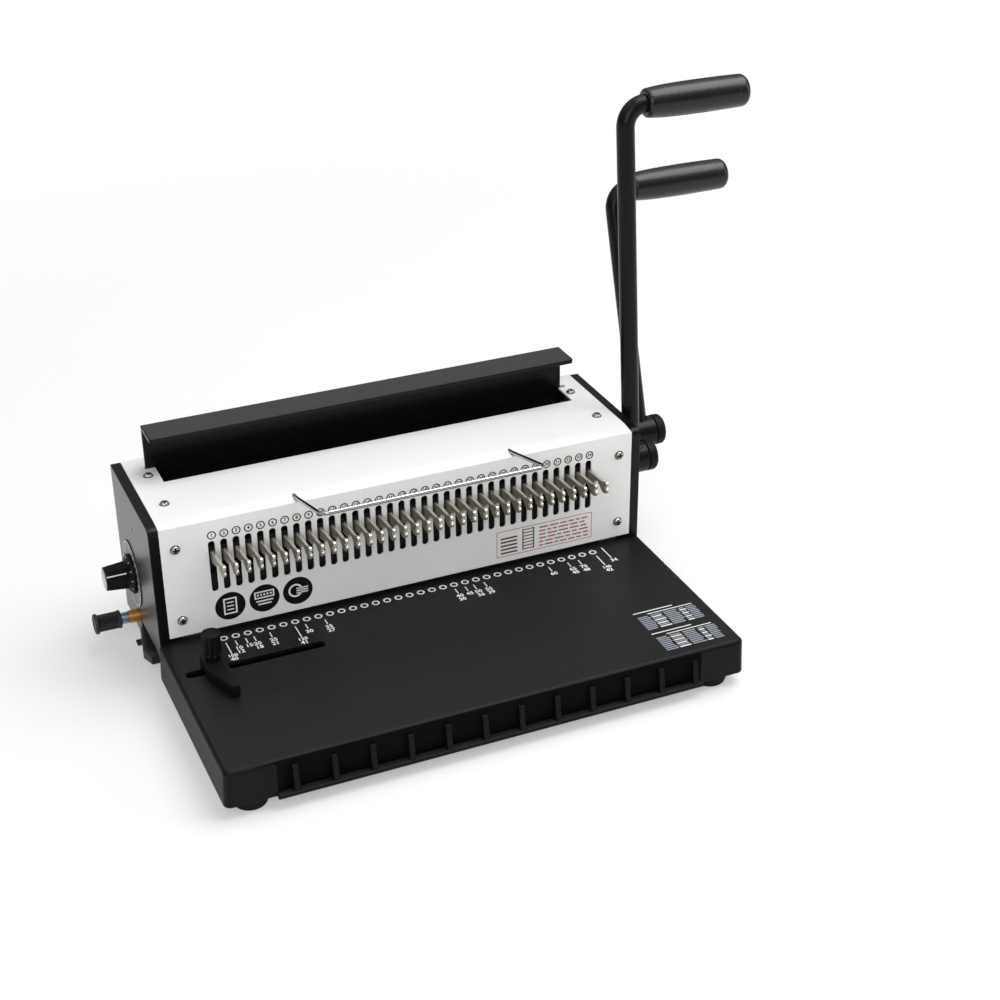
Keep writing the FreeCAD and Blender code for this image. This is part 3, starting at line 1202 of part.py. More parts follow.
def make_drawer():
    """The waste drawer under the punch, which pulls out to the left, and its two rails."""
    outer = ("-plate_out + plate_thick / 2", "drawer_end")
    low = f"({FLOOR} + slip)"
    high = "(drawer_top - plate_corner)"
    wide = ("drawer_front_y + slip", "drawer_rear_y - slip")
    tray = cut("tray_cut", box("tray_block", outer, wide, (low, high)), [
        box("tray_hollow", (f"{outer[0]} + drawer_wall", f"{outer[1]} - drawer_wall"),
            (f"{wide[0]} + drawer_wall", f"{wide[1]} - drawer_wall"),
            (f"{low} + drawer_wall", f"{high} + 1"))])
    plan = [
        (outer[0], "drawer_face_front"), (outer[0], wide[1]), ("-plate_out - drawer_thin", wide[1]),
        ("-plate_out - drawer_proud", "drawer_face_peak"),
        ("-plate_out - drawer_proud / 2", "drawer_face_front"),
    ]
    front = prism("drawer_front_body", "XY_Plane", plan, low, "drawer_face_top")
    soften(front, "base_edge",
           lambda edge: edge.BoundBox.ZMin > SIZES["drawer_face_top"] - 1e-6
           and edge.BoundBox.XMin < number("-plate_out - drawer_thin") - 1)
    pull = box("drawer_pull", ("-plate_out - drawer_proud", "-plate_out"),
               ("drawer_rear_y - 13", "drawer_rear_y - 7"), (low, f"{low} + 2"))
    node("waste_drawer", join("drawer_join", [tray, front, pull]))
    rails = []
    for i, (near, far) in enumerate((("drawer_front_y - 1.2", "drawer_front_y"),
                                     ("drawer_rear_y", "drawer_rear_y + 1.1"))):
        rails.append(box(f"rail_{i}", ("base_wall + slip - inner_half", outer[1]), (near, far),
                         (FLOOR, f"{FLOOR} + 5")))
    node("drawer_rails", group("rail_group", rails))


def make_springs():
    """Return springs: a pair lifts the punch bar, a pair draws the press bar down."""
    short = make_spring("punch_coil", "spring_wire", f"hook_bar_high - 2 - {PUNCH_TOP} - slip",
                        "punch_spring_radius")
    long = make_spring("closer_coil", "spring_wire", f"{PRESS_LOW} - {TABLE} - slip",
                       "closer_spring_radius")
    node("punch_springs", group("punch_spring_group", [
        link(f"punch_spring_{i}", short, x=f"{sign}punch_spring_x", y="punch_spring_y",
             z=f"{PUNCH_TOP} + slip / 2")
        for i, sign in enumerate(("-", ""))]))
    node("closer_springs", group("closer_spring_group", [
        link(f"closer_spring_{i}", long, x=f"{sign}closer_spring_x", y="closer_spring_y",
             z=f"{TABLE} + slip / 2")
        for i, sign in enumerate(("-", ""))]))


def check_model():
    """Stop with a list of faults if an object failed or a piece isn't a valid solid."""
    failed = [item.Name for item in doc.Objects if "Invalid" in item.State or "Error" in item.State]
    empty = [piece.Label for piece in nodes
             if piece.Shape.isNull() or not piece.Shape.isValid() or not piece.Shape.Solids]
    if failed or empty:
        raise RuntimeError(f"failed objects: {failed}; pieces without a valid solid: {empty}")


def write_steps():
    """Write each piece to its own file."""
    os.makedirs("parts", exist_ok=True)
    for piece in nodes:
        piece.Shape.exportStep(f"parts/{piece.Label}.step")
        print(f"{piece.Label}: {len(piece.Shape.Solids)} solids, {piece.Shape.Volume / 1000:.2f} cm3")


fill_sheet()
pan_screw = make_screw()
make_base()
make_floor_and_feet()
make_side_plate("left")
make_side_plate("right")
make_front_cover()
make_rear_cover()
make_blocks()
make_cover_screws(pan_screw)
make_side_pins()
make_closer_frame(pan_screw)
make_punch_set()
make_drive()
make_lever("punch")
make_lever("closer")
make_closer_sleeve()
make_hooks()
make_rod()
make_dial()
make_margin()
make_paper_guide()
make_drawer()
make_springs()
doc.recompute()
check_model()
write_steps()
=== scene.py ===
# %% [markdown]
# A desk wire binding machine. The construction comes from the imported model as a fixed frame, and
# this script gives it its looks: rounded edges, bent tubes and soft grips, pressed hooks, fluted knobs,
# printed marks and a finish for every surface. Lengths are metres, and the millimetre value below
# keeps the measures readable.

# %% Load the frame
import json
import math

import bmesh
import bpy
import numpy as np
from mathutils import Matrix, Vector


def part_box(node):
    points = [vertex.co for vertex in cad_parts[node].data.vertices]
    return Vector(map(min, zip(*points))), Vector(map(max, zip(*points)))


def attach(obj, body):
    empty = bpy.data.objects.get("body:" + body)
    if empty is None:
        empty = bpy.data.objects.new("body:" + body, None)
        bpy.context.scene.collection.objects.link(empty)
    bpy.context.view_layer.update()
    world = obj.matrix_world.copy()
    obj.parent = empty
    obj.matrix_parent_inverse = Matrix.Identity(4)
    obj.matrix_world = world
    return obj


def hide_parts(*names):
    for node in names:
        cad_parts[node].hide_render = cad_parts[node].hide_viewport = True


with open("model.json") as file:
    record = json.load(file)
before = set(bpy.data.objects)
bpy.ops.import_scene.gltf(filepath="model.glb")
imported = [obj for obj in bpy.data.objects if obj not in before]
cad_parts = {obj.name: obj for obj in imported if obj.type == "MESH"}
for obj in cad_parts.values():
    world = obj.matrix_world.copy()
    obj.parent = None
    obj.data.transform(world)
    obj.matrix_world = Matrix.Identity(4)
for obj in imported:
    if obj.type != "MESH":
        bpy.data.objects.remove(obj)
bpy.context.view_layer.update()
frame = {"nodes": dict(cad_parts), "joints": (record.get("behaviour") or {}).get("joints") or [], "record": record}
BODY_OF = {node: body for body, members in frame["record"]["behaviour"]["bodies"].items() for node in members}
SLOT_OF = {entry["node"]: entry["material_slot"] for entry in frame["record"]["subparts"]}
JOINT = {joint["name"]: joint for joint in frame["joints"]}
MM = 0.001

# %% [markdown]
# The machine has its own natural zero: the middle of the row of holes, the face of the white panel
# and the desk. Reading that point from three nodes' boxes ties every mark to the construction.

# %% The machine's own zero
table_low, table_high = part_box("base_table")
panel_low, panel_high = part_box("front_cover")
die_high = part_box("die_plate")[1]
ZERO = np.array([(table_low.x + table_high.x) / 2, panel_low.y, 0.0])
TABLE_TOP = die_high.z / MM
ROOF_TOP = panel_high.z / MM
HOLES = 34
PITCH = 25.4 / 3
HOLE_X = (np.arange(HOLES) - (HOLES - 1) / 2) * PITCH


def place(x, y, z):
    """A point given in millimetres from the machine's own zero, as metres in the row frame."""
    return ZERO + np.array([x, y, z]) * MM


print("table top at", round(TABLE_TOP, 2), "mm, roof at", round(ROOF_TOP, 2), "mm")

# %% [markdown]
# The camera was solved from the photograph: where it stands, which way it looks and how long its
# lens is. Its three axes follow from a turn to the left, a tilt down and a slight roll.

# %% Camera
CAMERA_PLACE = (-381.563, -1038.672, 712.548)
CAMERA_TURN = math.radians(23.498)
CAMERA_TILT = math.radians(28.769)
CAMERA_ROLL = math.radians(-0.479)
SENSOR = 36.0
LENS = 1821.037 / 1000 * SENSOR

forward = np.array([math.sin(CAMERA_TURN) * math.cos(CAMERA_TILT),
                    math.cos(CAMERA_TURN) * math.cos(CAMERA_TILT), -math.sin(CAMERA_TILT)])
level_right = np.array([math.cos(CAMERA_TURN), -math.sin(CAMERA_TURN), 0.0])
level_up = np.cross(level_right, forward)
right = level_right * math.cos(CAMERA_ROLL) + level_up * math.sin(CAMERA_ROLL)
up = -level_right * math.sin(CAMERA_ROLL) + level_up * math.cos(CAMERA_ROLL)

camera_data = bpy.data.cameras.new("camera")
camera_data.sensor_width = SENSOR
camera_data.lens = LENS
camera_data.clip_end = 50
camera = bpy.data.objects.new("camera", camera_data)
bpy.context.scene.collection.objects.link(camera)
camera.matrix_world = Matrix.Translation(Vector(place(*CAMERA_PLACE))) @ Matrix(
    np.column_stack([right, up, -forward]).tolist()).to_4x4()
bpy.context.scene.camera = camera
print("camera at", [round(v, 3) for v in camera.location])

# %% [markdown]
# The light is a plain studio: a pale room, a soft panel overhead to the right, a weaker one in front
# and a tall narrow one at the right, whose upright reflection runs down the lever tubes. The room is
# white to the camera. Reflections see it white overhead and dimmer round the horizon, as a photo
# studio is behind its lamps, which gives black paint and grips their depth and their bright tops.

# %% Studio
ROOM_LIGHT = 0.5
ROOM_SEEN = 1.0
HORIZON_GLOSS = 0.24
ZENITH_GLOSS = 1.3


def aimed_panel(name, where, target, size, watts, tall=None):
    """A square soft light, or a tall narrow one, at one point and turned to face another."""
    data = bpy.data.lights.new(name, "AREA")
    data.shape = "SQUARE" if tall is None else "RECTANGLE"
    data.size = size
    data.size_y = size if tall is None else tall
    data.energy = watts
    lamp = bpy.data.objects.new(name, data)
    bpy.context.scene.collection.objects.link(lamp)
    direction = Vector(target) - Vector(where)
    facing = direction.to_track_quat("-Z", "Y").to_matrix().to_4x4()
    lamp.matrix_world = Matrix.Translation(Vector(where)) @ facing
    return lamp


def light_room():
    """A world whose strength depends on the kind of ray that meets it and, for gloss, on its height."""
    world = bpy.data.worlds.new("room")
    bpy.context.scene.world = world
    world.use_nodes = True
    nodes, links = world.node_tree.nodes, world.node_tree.links
    background = nodes["Background"]
    background.inputs["Color"].default_value = (1, 1, 1, 1)
    rays = nodes.new("ShaderNodeLightPath")
    toward = nodes.new("ShaderNodeTexCoord")
    height = nodes.new("ShaderNodeSeparateXYZ")
    links.new(toward.outputs["Generated"], height.inputs["Vector"])
    brighter = nodes.new("ShaderNodeMapRange")
    brighter.interpolation_type = "SMOOTHSTEP"
    brighter.inputs["From Min"].default_value = 0.35
    brighter.inputs["From Max"].default_value = 0.95
    brighter.inputs["To Min"].default_value = HORIZON_GLOSS
    brighter.inputs["To Max"].default_value = ZENITH_GLOSS
    links.new(height.outputs["Z"], brighter.inputs["Value"])
    gloss = nodes.new("ShaderNodeMix")
    gloss.inputs["A"].default_value = ROOM_LIGHT
    links.new(brighter.outputs["Result"], gloss.inputs["B"])
    seen = nodes.new("ShaderNodeMix")
    seen.inputs["B"].default_value = ROOM_SEEN
    links.new(rays.outputs["Is Glossy Ray"], gloss.inputs["Factor"])
    links.new(rays.outputs["Is Camera Ray"], seen.inputs["Factor"])
    links.new(gloss.outputs["Result"], seen.inputs["A"])
    links.new(seen.outputs["Result"], background.inputs["Strength"])


light_room()
aimed_panel("sky_panel", (0.85, -0.1, 2.2), (0.0, 0.0, 0.1), 1.7, 43)
aimed_panel("front_panel", (-1.2, -2.1, 1.5), (0.0, 0.0, 0.1), 1.5, 23)
aimed_panel("side_panel", (2.1, -0.95, 0.9), (0.1, 0.0, 0.15), 0.35, 9, 1.5)
bpy.context.scene.view_settings.view_transform = "Standard"

# %% [markdown]
# Surfaces need more than one flat colour. Each finish below has a fine grain that bumps the surface
# and a broad mottling that shifts its colour and gloss a little, both from noise on Object
# coordinates, so they stay put from every side. Shine is the strength of the clear reflection:
# a powder coat and a soft plastic have less of it than a polished one.

# %% Finishes


def linked(nodes, links, kind, **sockets):
    """A new node with its inputs set or, when given an output, joined."""
    node = nodes.new(kind)
    for name, value in sockets.items():
        socket = node.inputs[name.replace("_", " ")]
        if isinstance(value, bpy.types.NodeSocket):
            links.new(value, socket)
        else:
            socket.default_value = value
    return node


def finish(name, colour, gloss, grain=900.0, grain_depth=0.15, mottle=0.12, mottle_scale=40.0, metal=0.0,
           stretch=(1, 1, 1), gloss_spread=0.08, shine=0.5):
    """A material: its colour and roughness vary a little around the given ones; grain is bumps per metre."""
    material = bpy.data.materials.new(name)
    material.use_nodes = True
    nodes, links = material.node_tree.nodes, material.node_tree.links
    shader = nodes["Principled BSDF"]
    shader.inputs["Metallic"].default_value = metal
    shader.inputs["Specular IOR Level"].default_value = shine
    place_node = nodes.new("ShaderNodeTexCoord")
    stretched = linked(nodes, links, "ShaderNodeMapping", Vector=place_node.outputs["Object"], Scale=stretch)
    fine = linked(nodes, links, "ShaderNodeTexNoise", Vector=stretched.outputs["Vector"],
                  Scale=grain, Detail=3.0)
    broad = linked(nodes, links, "ShaderNodeTexNoise", Vector=place_node.outputs["Object"],
                   Scale=mottle_scale, Detail=4.0)
    dark = [c * (1 - mottle) for c in colour]
    light = [min(1.0, c * (1 + mottle)) for c in colour]
    ramp = linked(nodes, links, "ShaderNodeValToRGB", Fac=broad.outputs["Fac"])
    ramp.color_ramp.elements[0].position = 0.3
    ramp.color_ramp.elements[0].color = (*dark, 1)
    ramp.color_ramp.elements[1].position = 0.7
    ramp.color_ramp.elements[1].color = (*light, 1)
    links.new(ramp.outputs["Color"], shader.inputs["Base Color"])
    spread = linked(nodes, links, "ShaderNodeMapRange", Value=fine.outputs["Fac"])
    spread.inputs["To Min"].default_value = max(0.02, gloss - gloss_spread)
    spread.inputs["To Max"].default_value = min(1.0, gloss + gloss_spread)
    links.new(spread.outputs["Result"], shader.inputs["Roughness"])
    bump = linked(nodes, links, "ShaderNodeBump", Height=fine.outputs["Fac"], Strength=grain_depth)
    bump.inputs["Distance"].default_value = 0.0002
    links.new(bump.outputs["Normal"], shader.inputs["Normal"])
    return material


FINISH = {
    "black_coat": finish("black_coat", (0.004, 0.0042, 0.0045), 0.25, 1400, 0.12, shine=0.16),
    "black_plastic": finish("black_plastic", (0.004, 0.0042, 0.0045), 0.46, 1800, 0.3, shine=0.11),
    "white_coat": finish("white_coat", (0.775, 0.785, 0.77), 0.38, 1200, 0.06, 0.012),
    "rubber_black": finish("rubber_black", (0.005, 0.005, 0.005), 0.75, 1500, 0.3, shine=0.12),
    "zinc_screw": finish("zinc_screw", (0.42, 0.41, 0.39), 0.2, 900, 0.08, metal=1.0),
    "black_steel": finish("black_steel", (0.018, 0.018, 0.019), 0.35, 900, 0.1, metal=0.3, shine=0.3),
    "tool_steel": finish("tool_steel", (0.45, 0.455, 0.46), 0.3, 700, 0.12, metal=1.0, stretch=(0.1, 1, 1)),
    "hook_steel": finish("hook_steel", (0.56, 0.53, 0.47), 0.22, 800, 0.1, 0.1, metal=0.8),
    "bright_rod": finish("bright_rod", (0.42, 0.42, 0.43), 0.05, 600, 0.02, 0.03, metal=1.0),
    "bronze": finish("bronze", (0.5, 0.3, 0.13), 0.4, 900, 0.15, metal=1.0),
    "brass": finish("brass", (0.60, 0.27, 0.06), 0.3, 900, 0.08, 0.2, metal=0.6),
    "spring_steel": finish("spring_steel", (0.34, 0.45, 0.56), 0.28, 900, 0.08, metal=1.0),
    "gear_steel": finish("gear_steel", (0.2, 0.2, 0.21), 0.4, 900, 0.15, metal=1.0),
    "grip_rubber": finish("grip_rubber", (0.002, 0.002, 0.0024), 0.29, 900, 0.3, mottle=0.3, shine=0.42,
                          gloss_spread=0.12),
    "silver_cap": finish("silver_cap", (0.50, 0.50, 0.51), 0.3, 600, 0.08, metal=1.0),
    "dial_black": finish("dial_black", (0.016, 0.016, 0.017), 0.32, 900, 0.05, shine=0.35),
    "galvanised": finish("galvanised", (0.42, 0.43, 0.44), 0.38, 300, 0.1, 0.2, 90.0, metal=1.0),
}
PLATE_FACE = finish("plate_face_paint", (0.014, 0.0145, 0.0155), 0.36, 1400, 0.14, shine=0.95)
TABLE_TOP_PAINT = finish("table_top_paint", (0.006, 0.0062, 0.0065), 0.42, 1500, 0.28, shine=0.18)
ANVIL_PAINT = finish("anvil_paint", (0.018, 0.0185, 0.0195), 0.36, 1400, 0.16, shine=0.6)
DRAWER_FACE = finish("drawer_face", (0.014, 0.014, 0.0145), 0.45, 1500, 0.2, shine=0.25)
# The tray's back: the black plastic made darker and almost without gloss, painted shade for its recess under the
# table's edge.
TRAY_PAINTED_SHADE = finish("tray_painted_shade", (0.002, 0.002, 0.0022), 0.6, 1800, 0.3, shine=0.04)
KNOB_RUBBER = finish("knob_rubber", (0.010, 0.010, 0.0115), 0.5, 1800, 0.3, shine=0.4)
# The hooks' flat sides: a darker, less metallic copy of the hook steel, painted shade on the flanks.
HOOK_FLANK_SHADE = finish("hook_flank_shade", (0.25, 0.22, 0.165), 0.34, 700, 0.18, 0.2, 250.0, metal=0.5,
                    stretch=(1, 0.2, 1))
DARK_STEEL = finish("dark_steel", (0.05, 0.05, 0.052), 0.4, 900, 0.1, metal=0.6)
INK_WHITE = finish("ink_white", (0.78, 0.78, 0.76), 0.5, 900, 0.03, 0.03)
# Black print ink for the panel, also used as painted shade in the screws' crosses and round their heads.
BLACK_INK_AND_SHADE = finish("black_ink_and_shade", (0.006, 0.006, 0.006), 0.5, 900, 0.03, 0.03, shine=0.12)
INK_RED = finish("ink_red", (0.33, 0.07, 0.065), 0.45, 900, 0.03, 0.05)
INK_DARK_RED = finish("ink_dark_red", (0.11, 0.022, 0.02), 0.45, 900, 0.03, 0.05)
INK_GREY = finish("ink_grey", (0.27, 0.29, 0.34), 0.45, 900, 0.03, 0.1)

ODD_FINISH = {"punch_springs": DARK_STEEL, "closer_springs": DARK_STEEL, "side_pins": FINISH["zinc_screw"]}
for node, piece in frame["nodes"].items():
    piece.data.materials.clear()
    piece.data.materials.append(ODD_FINISH.get(node, FINISH[SLOT_OF[node]]))
print("finishes:", len(bpy.data.materials))

# %% [markdown]
# The floor is a pale sheet, large enough to run out of view. It isn't part of the machine. Near the
# machine it is an ordinary surface that takes the shadow. Further out it turns into even white for
# the camera and for reflections alone, so the background stays white and lights nothing.

# %% Floor


def whiter_far_away(material):
    """Mix plain white into what is seen directly: a third near the machine, all of it from 1.2 m on."""
    nodes, links = material.node_tree.nodes, material.node_tree.links
    surface = nodes["Principled BSDF"].outputs["BSDF"]
    point = nodes.new("ShaderNodeTexCoord")
    distance = nodes.new("ShaderNodeVectorMath")
    distance.operation = "LENGTH"
    links.new(point.outputs["Object"], distance.inputs[0])
    far = linked(nodes, links, "ShaderNodeMapRange", Value=distance.outputs["Value"])
    far.interpolation_type = "SMOOTHSTEP"
    far.inputs["From Min"].default_value = 0.3
    far.inputs["From Max"].default_value = 1.2
    far.inputs["To Min"].default_value = 0.33
    rays = nodes.new("ShaderNodeLightPath")
    seen = rays.outputs["Is Camera Ray"]
    for kind in ("Is Glossy Ray", "Is Transmission Ray"):
        either = nodes.new("ShaderNodeMath")
        either.operation = "MAXIMUM"
        links.new(seen, either.inputs[0])
        links.new(rays.outputs[kind], either.inputs[1])
        seen = either.outputs["Value"]
    share = nodes.new("ShaderNodeMath")
    share.operation = "MULTIPLY"
    links.new(far.outputs["Result"], share.inputs[0])
    links.new(seen, share.inputs[1])
    white = nodes.new("ShaderNodeEmission")
    mixed = nodes.new("ShaderNodeMixShader")
    links.new(share.outputs["Value"], mixed.inputs["Fac"])
    links.new(surface, mixed.inputs[1])
    links.new(white.outputs["Emission"], mixed.inputs[2])
    links.new(mixed.outputs["Shader"], nodes["Material Output"].inputs["Surface"])
    return material


def pale_floor():
    """A wide square at desk height with a faintly mottled pale colour."""
    half = 12.0
    mesh = bpy.data.meshes.new("floor")
    corners = [(-half, -half, 0), (half, -half, 0), (half, half, 0), (-half, half, 0)]
    mesh.from_pydata(corners, [], [(0, 1, 2, 3)])
    floor = bpy.data.objects.new("floor", mesh)
    bpy.context.scene.collection.objects.link(floor)
    pale = finish("floor_pale", (0.84, 0.84, 0.84), 0.7, 60, 0.0, 0.01, 3.0)
    floor.data.materials.append(whiter_far_away(pale))


pale_floor()

# %% [markdown]
# Real edges are never razor sharp, and a small round catches the light. A CAD node's mesh may not be
# changed, so a copy is merged, its flat faces are made whole, a Bevel modifier rounds each edge and
# weighted normals keep the large faces flat. A second finish can go on the faces that look one way,
# such as the outer face of a side plate, whose cut edges stay matt. The table's copy also loses the
# upper wall of its front channel, where the front tray goes in below.

# %% Rounded copies of the nodes


def add_piece(name, mesh, body, material, replaced=()):
    """Put a finished mesh into the scene, on its body and with its material."""
    piece = bpy.data.objects.new(name, mesh)
    bpy.context.scene.collection.objects.link(piece)
    if material is not None:
        mesh.materials.clear()
        mesh.materials.append(material)
    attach(piece, body)
    if replaced:
        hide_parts(*replaced)
    return piece


def less_box(mesh, low, high):
    """A mesh with a box, given by two corners in metres, taken out of it."""
    x, y, z = zip(low, high)
    corners = [(x[i], y[j], z[k]) for i in (0, 1) for j in (0, 1) for k in (0, 1)]
    sides = [(0, 1, 3, 2), (4, 6, 7, 5), (0, 4, 5, 1), (2, 3, 7, 6), (0, 2, 6, 4), (1, 5, 7, 3)]
    tool_mesh = bpy.data.meshes.new("tool")
    tool_mesh.from_pydata(corners, [], sides)
    tool = bpy.data.objects.new("tool", tool_mesh)
    whole = bpy.data.objects.new("whole", mesh)
    for piece in (tool, whole):
        bpy.context.scene.collection.objects.link(piece)
    cut = whole.modifiers.new("cut", "BOOLEAN")
    cut.operation = "DIFFERENCE"
    cut.solver = "EXACT"
    cut.object = tool
    worked_out = whole.evaluated_get(bpy.context.evaluated_depsgraph_get())
    result = bpy.data.meshes.new_from_object(worked_out)
    for piece in (tool, whole):
        bpy.data.objects.remove(piece)
    bpy.data.meshes.remove(tool_mesh)
    return result


def rounded(node, width, facing=None, second=None, segments=2, notch=None):
    """A copy of a node whose edges sharper than 30 degrees are rounded by a width in millimetres."""
    mesh = frame["nodes"][node].data.copy()
    mesh.name = node + "_rounded"
    if second is not None:
        mesh.materials.append(second)
    shape = bmesh.new()
    shape.from_mesh(mesh)
    bmesh.ops.remove_doubles(shape, verts=shape.verts, dist=2e-6)
    if notch is not None:
        shape.to_mesh(mesh)
        shape.clear()
        notched = less_box(mesh, *notch)
        shape.from_mesh(notched)
        bpy.data.meshes.remove(notched)
    bmesh.ops.dissolve_limit(shape, angle_limit=math.radians(0.2), verts=shape.verts, edges=shape.edges)
    for face in shape.faces:
        face.smooth = True
        if second is not None and face.normal.dot(Vector(facing)) > 0.97:
            face.material_index = 1
    shape.to_mesh(mesh)
    shape.free()
    piece = add_piece(node + "_rounded", mesh, BODY_OF[node], None, [node])
    bevel = piece.modifiers.new("edges", "BEVEL")
    bevel.width = width * MM
    bevel.segments = segments
    bevel.limit_method = "ANGLE"
    bevel.angle_limit = math.radians(30)
    bevel.use_clamp_overlap = False
    bevel.material = 0
    flat = piece.modifiers.new("flat_faces", "WEIGHTED_NORMAL")
    flat.keep_sharp = True
    return piece


ROUNDED = {
    "front_cover": 0.25, "punch_hub": 0.6, "closer_hub": 0.6, "closer_sleeve": 0.4,
    "margin_collar": 0.3, "guide_arm": 0.5, "rear_cover": 0.25, "press_bar": 0.5, "cover_screws": 0.12,
}
for node, width in ROUNDED.items():
    rounded(node, width)
FRONT = (table_low.y - ZERO[1]) / MM
CHANNEL_INSET = 34.6
CHANNEL_HALF = (table_high.x - table_low.x) / 2 / MM - CHANNEL_INSET
CHANNEL_TOP = TABLE_TOP - 7.5
EDGE_BOTTOM = TABLE_TOP - 1.3
WALL_CUT = 3.6
rounded("base_table", 0.5, (0, 0, 1), TABLE_TOP_PAINT,
        notch=(place(-CHANNEL_HALF, FRONT - 1, CHANNEL_TOP - 0.1),
               place(CHANNEL_HALF, FRONT + WALL_CUT, EDGE_BOTTOM)))
rounded("closer_anvil", 0.8, (0, 0, 1), ANVIL_PAINT, 3)
rounded("left_side_plate", 0.6, (-1, 0, 0), PLATE_FACE)
rounded("right_side_plate", 0.6, (1, 0, 0), PLATE_FACE)
rounded("waste_drawer", 0.4).data.materials[0] = DRAWER_FACE
print("rounded copies:", len(ROUNDED) + 5)

# %% [markdown]
# Most new pieces are grids of points: rows along a path or a profile, columns round it. One helper
# turns such a grid into a closed mesh, and one repeats it at equal steps.

# %% Grids


def grid_faces(rows, columns, wrap_rows=False):
    """The faces of a grid whose columns wrap round; its end rows are closed, or its rows wrap round too."""
    r, c = np.meshgrid(np.arange(rows if wrap_rows else rows - 1), np.arange(columns), indexing="ij")
    below, beside = (r + 1) % rows, (c + 1) % columns
    faces = np.stack([r * columns + c, r * columns + beside, below * columns + beside, below * columns + c],
                     axis=-1).reshape(-1, 4).tolist()
    if not wrap_rows:
        faces.append(list(range(columns))[::-1])
        faces.append([(rows - 1) * columns + i for i in range(columns)])
    return faces


def shell(name, points, faces, sharp=40):
    """A closed mesh with outward faces, smooth except where faces meet at more than the sharp angle."""
    mesh = bpy.data.meshes.new(name)
    mesh.from_pydata(np.asarray(points).reshape(-1, 3).tolist(), [], faces)
    mesh.polygons.foreach_set("use_smooth", np.ones(len(mesh.polygons), bool))
    shape = bmesh.new()
    shape.from_mesh(mesh)
    bmesh.ops.recalc_face_normals(shape, faces=shape.faces)
    shape.to_mesh(mesh)
    shape.free()
    mesh.set_sharp_from_angle(angle=math.radians(sharp))
    return mesh


def repeated(points, faces, shifts):
    """The same shape once for each shift: points + shift, with the face numbers moved on."""
    points = np.asarray(points).reshape(-1, 3)
    count = len(points)
    every = (points[None] + np.asarray(shifts)[:, None]).reshape(-1, 3)
    return every, [[i + count * step for i in face] for step in range(len(shifts)) for face in faces]


# %% [markdown]
# A tube or a rod is a circle carried along a path, a grip or a knob is a profile turned about an
# axis. Flutes are cut by making the radius fall a little at equal angles.

# %% Pipes and turned shapes


def pipe(name, path, radius, normal, around=32):
    """A circle carried along a flat path: centre + radius * (cos a * side + sin a * normal)."""
    path = np.asarray(path, float)
    along = np.gradient(path, axis=0)
    along /= np.linalg.norm(along, axis=1)[:, None]
    normal = np.asarray(normal, float)
    side = np.cross(along, normal)
    side /= np.linalg.norm(side, axis=1)[:, None]
    angle = np.linspace(0, 2 * np.pi, around, endpoint=False)
    points = (path[:, None, :] + radius * (np.cos(angle)[None, :, None] * side[:, None, :]
                                          + np.sin(angle)[None, :, None] * normal))
    return shell(name, points, grid_faces(len(path), around))


def turned(name, along, radius, start, axis, around=64, flutes=0, depth=0.0, fluted=None, sharp=40):
    """A profile turned about an axis: start + along * axis + radius * (cos a, sin a) across it.

    With flutes, the radius falls by depth * (0.5 - 0.5 cos(flutes * a)) on the rows marked in fluted.
    """
    axis = np.asarray(axis, float)
    helper = np.array([0.0, 0.0, 1.0]) if abs(axis[2]) < 0.9 else np.array([1.0, 0.0, 0.0])
    across = np.cross(axis, helper)
    across /= np.linalg.norm(across)
    other = np.cross(axis, across)
    angle = np.linspace(0, 2 * np.pi, around, endpoint=False)
    ring = np.cos(angle)[:, None] * across + np.sin(angle)[:, None] * other
    size = np.asarray(radius, float)[:, None] * np.ones(around)
    if flutes:
        size -= np.asarray(fluted, float)[:, None] * depth * (0.5 - 0.5 * np.cos(flutes * angle))
    points = (np.asarray(start) + np.asarray(along)[:, None, None] * axis
              + size[:, :, None] * ring[None, :, :])
    return shell(name, points, grid_faces(len(along), around), sharp)


def arc(centre, first, second, radius, begin, finish_angle, count):
    """Points on an arc: centre + radius * (cos a * first + sin a * second)."""
    angle = np.linspace(begin, finish_angle, count)
    return (np.asarray(centre) + radius * (np.cos(angle)[:, None] * np.asarray(first)
                                           + np.sin(angle)[:, None] * np.asarray(second)))


# %% [markdown]
# The table's front is a shallow tray that begins right under the table's edge: its back curves in
# from both ends, ribs lean out from it, and a lip runs along its foot. The CAD node has a plain
# ribbed channel there, whose upper wall was taken out above. The back closes the channel and carries
# the ribs and the lip.

# %% Front tray
RIBS = 12
RIB_PITCH = 25.6
RIB_SHIFT = 3.9
TRAY_DEPTH = 2.4
TRAY_END = 9.0
TRAY_FOOT = 10.6
LIP = [(1.0, 8.3), (-3.0, 8.3), (-3.6, 8.8), (-3.7, 9.8), (-3.2, 10.6), (-2.0, 11.2), (1.0, 12.0)]
RIB = [(3.0, 9.0), (-2.6, 9.0), (-2.4, 12.0), (-1.2, 17.0), (-0.5, 22.0), (-0.1, 26.0), (0.5, 27.6),
       (1.5, 28.4), (3.0, 28.6)]


def along_front(stations, outline):
    """The same outline of (y behind the front, z) at several places along x, in metres."""
    return np.array([[place(x, FRONT + y, z) for y, z in outline] for x in stations])


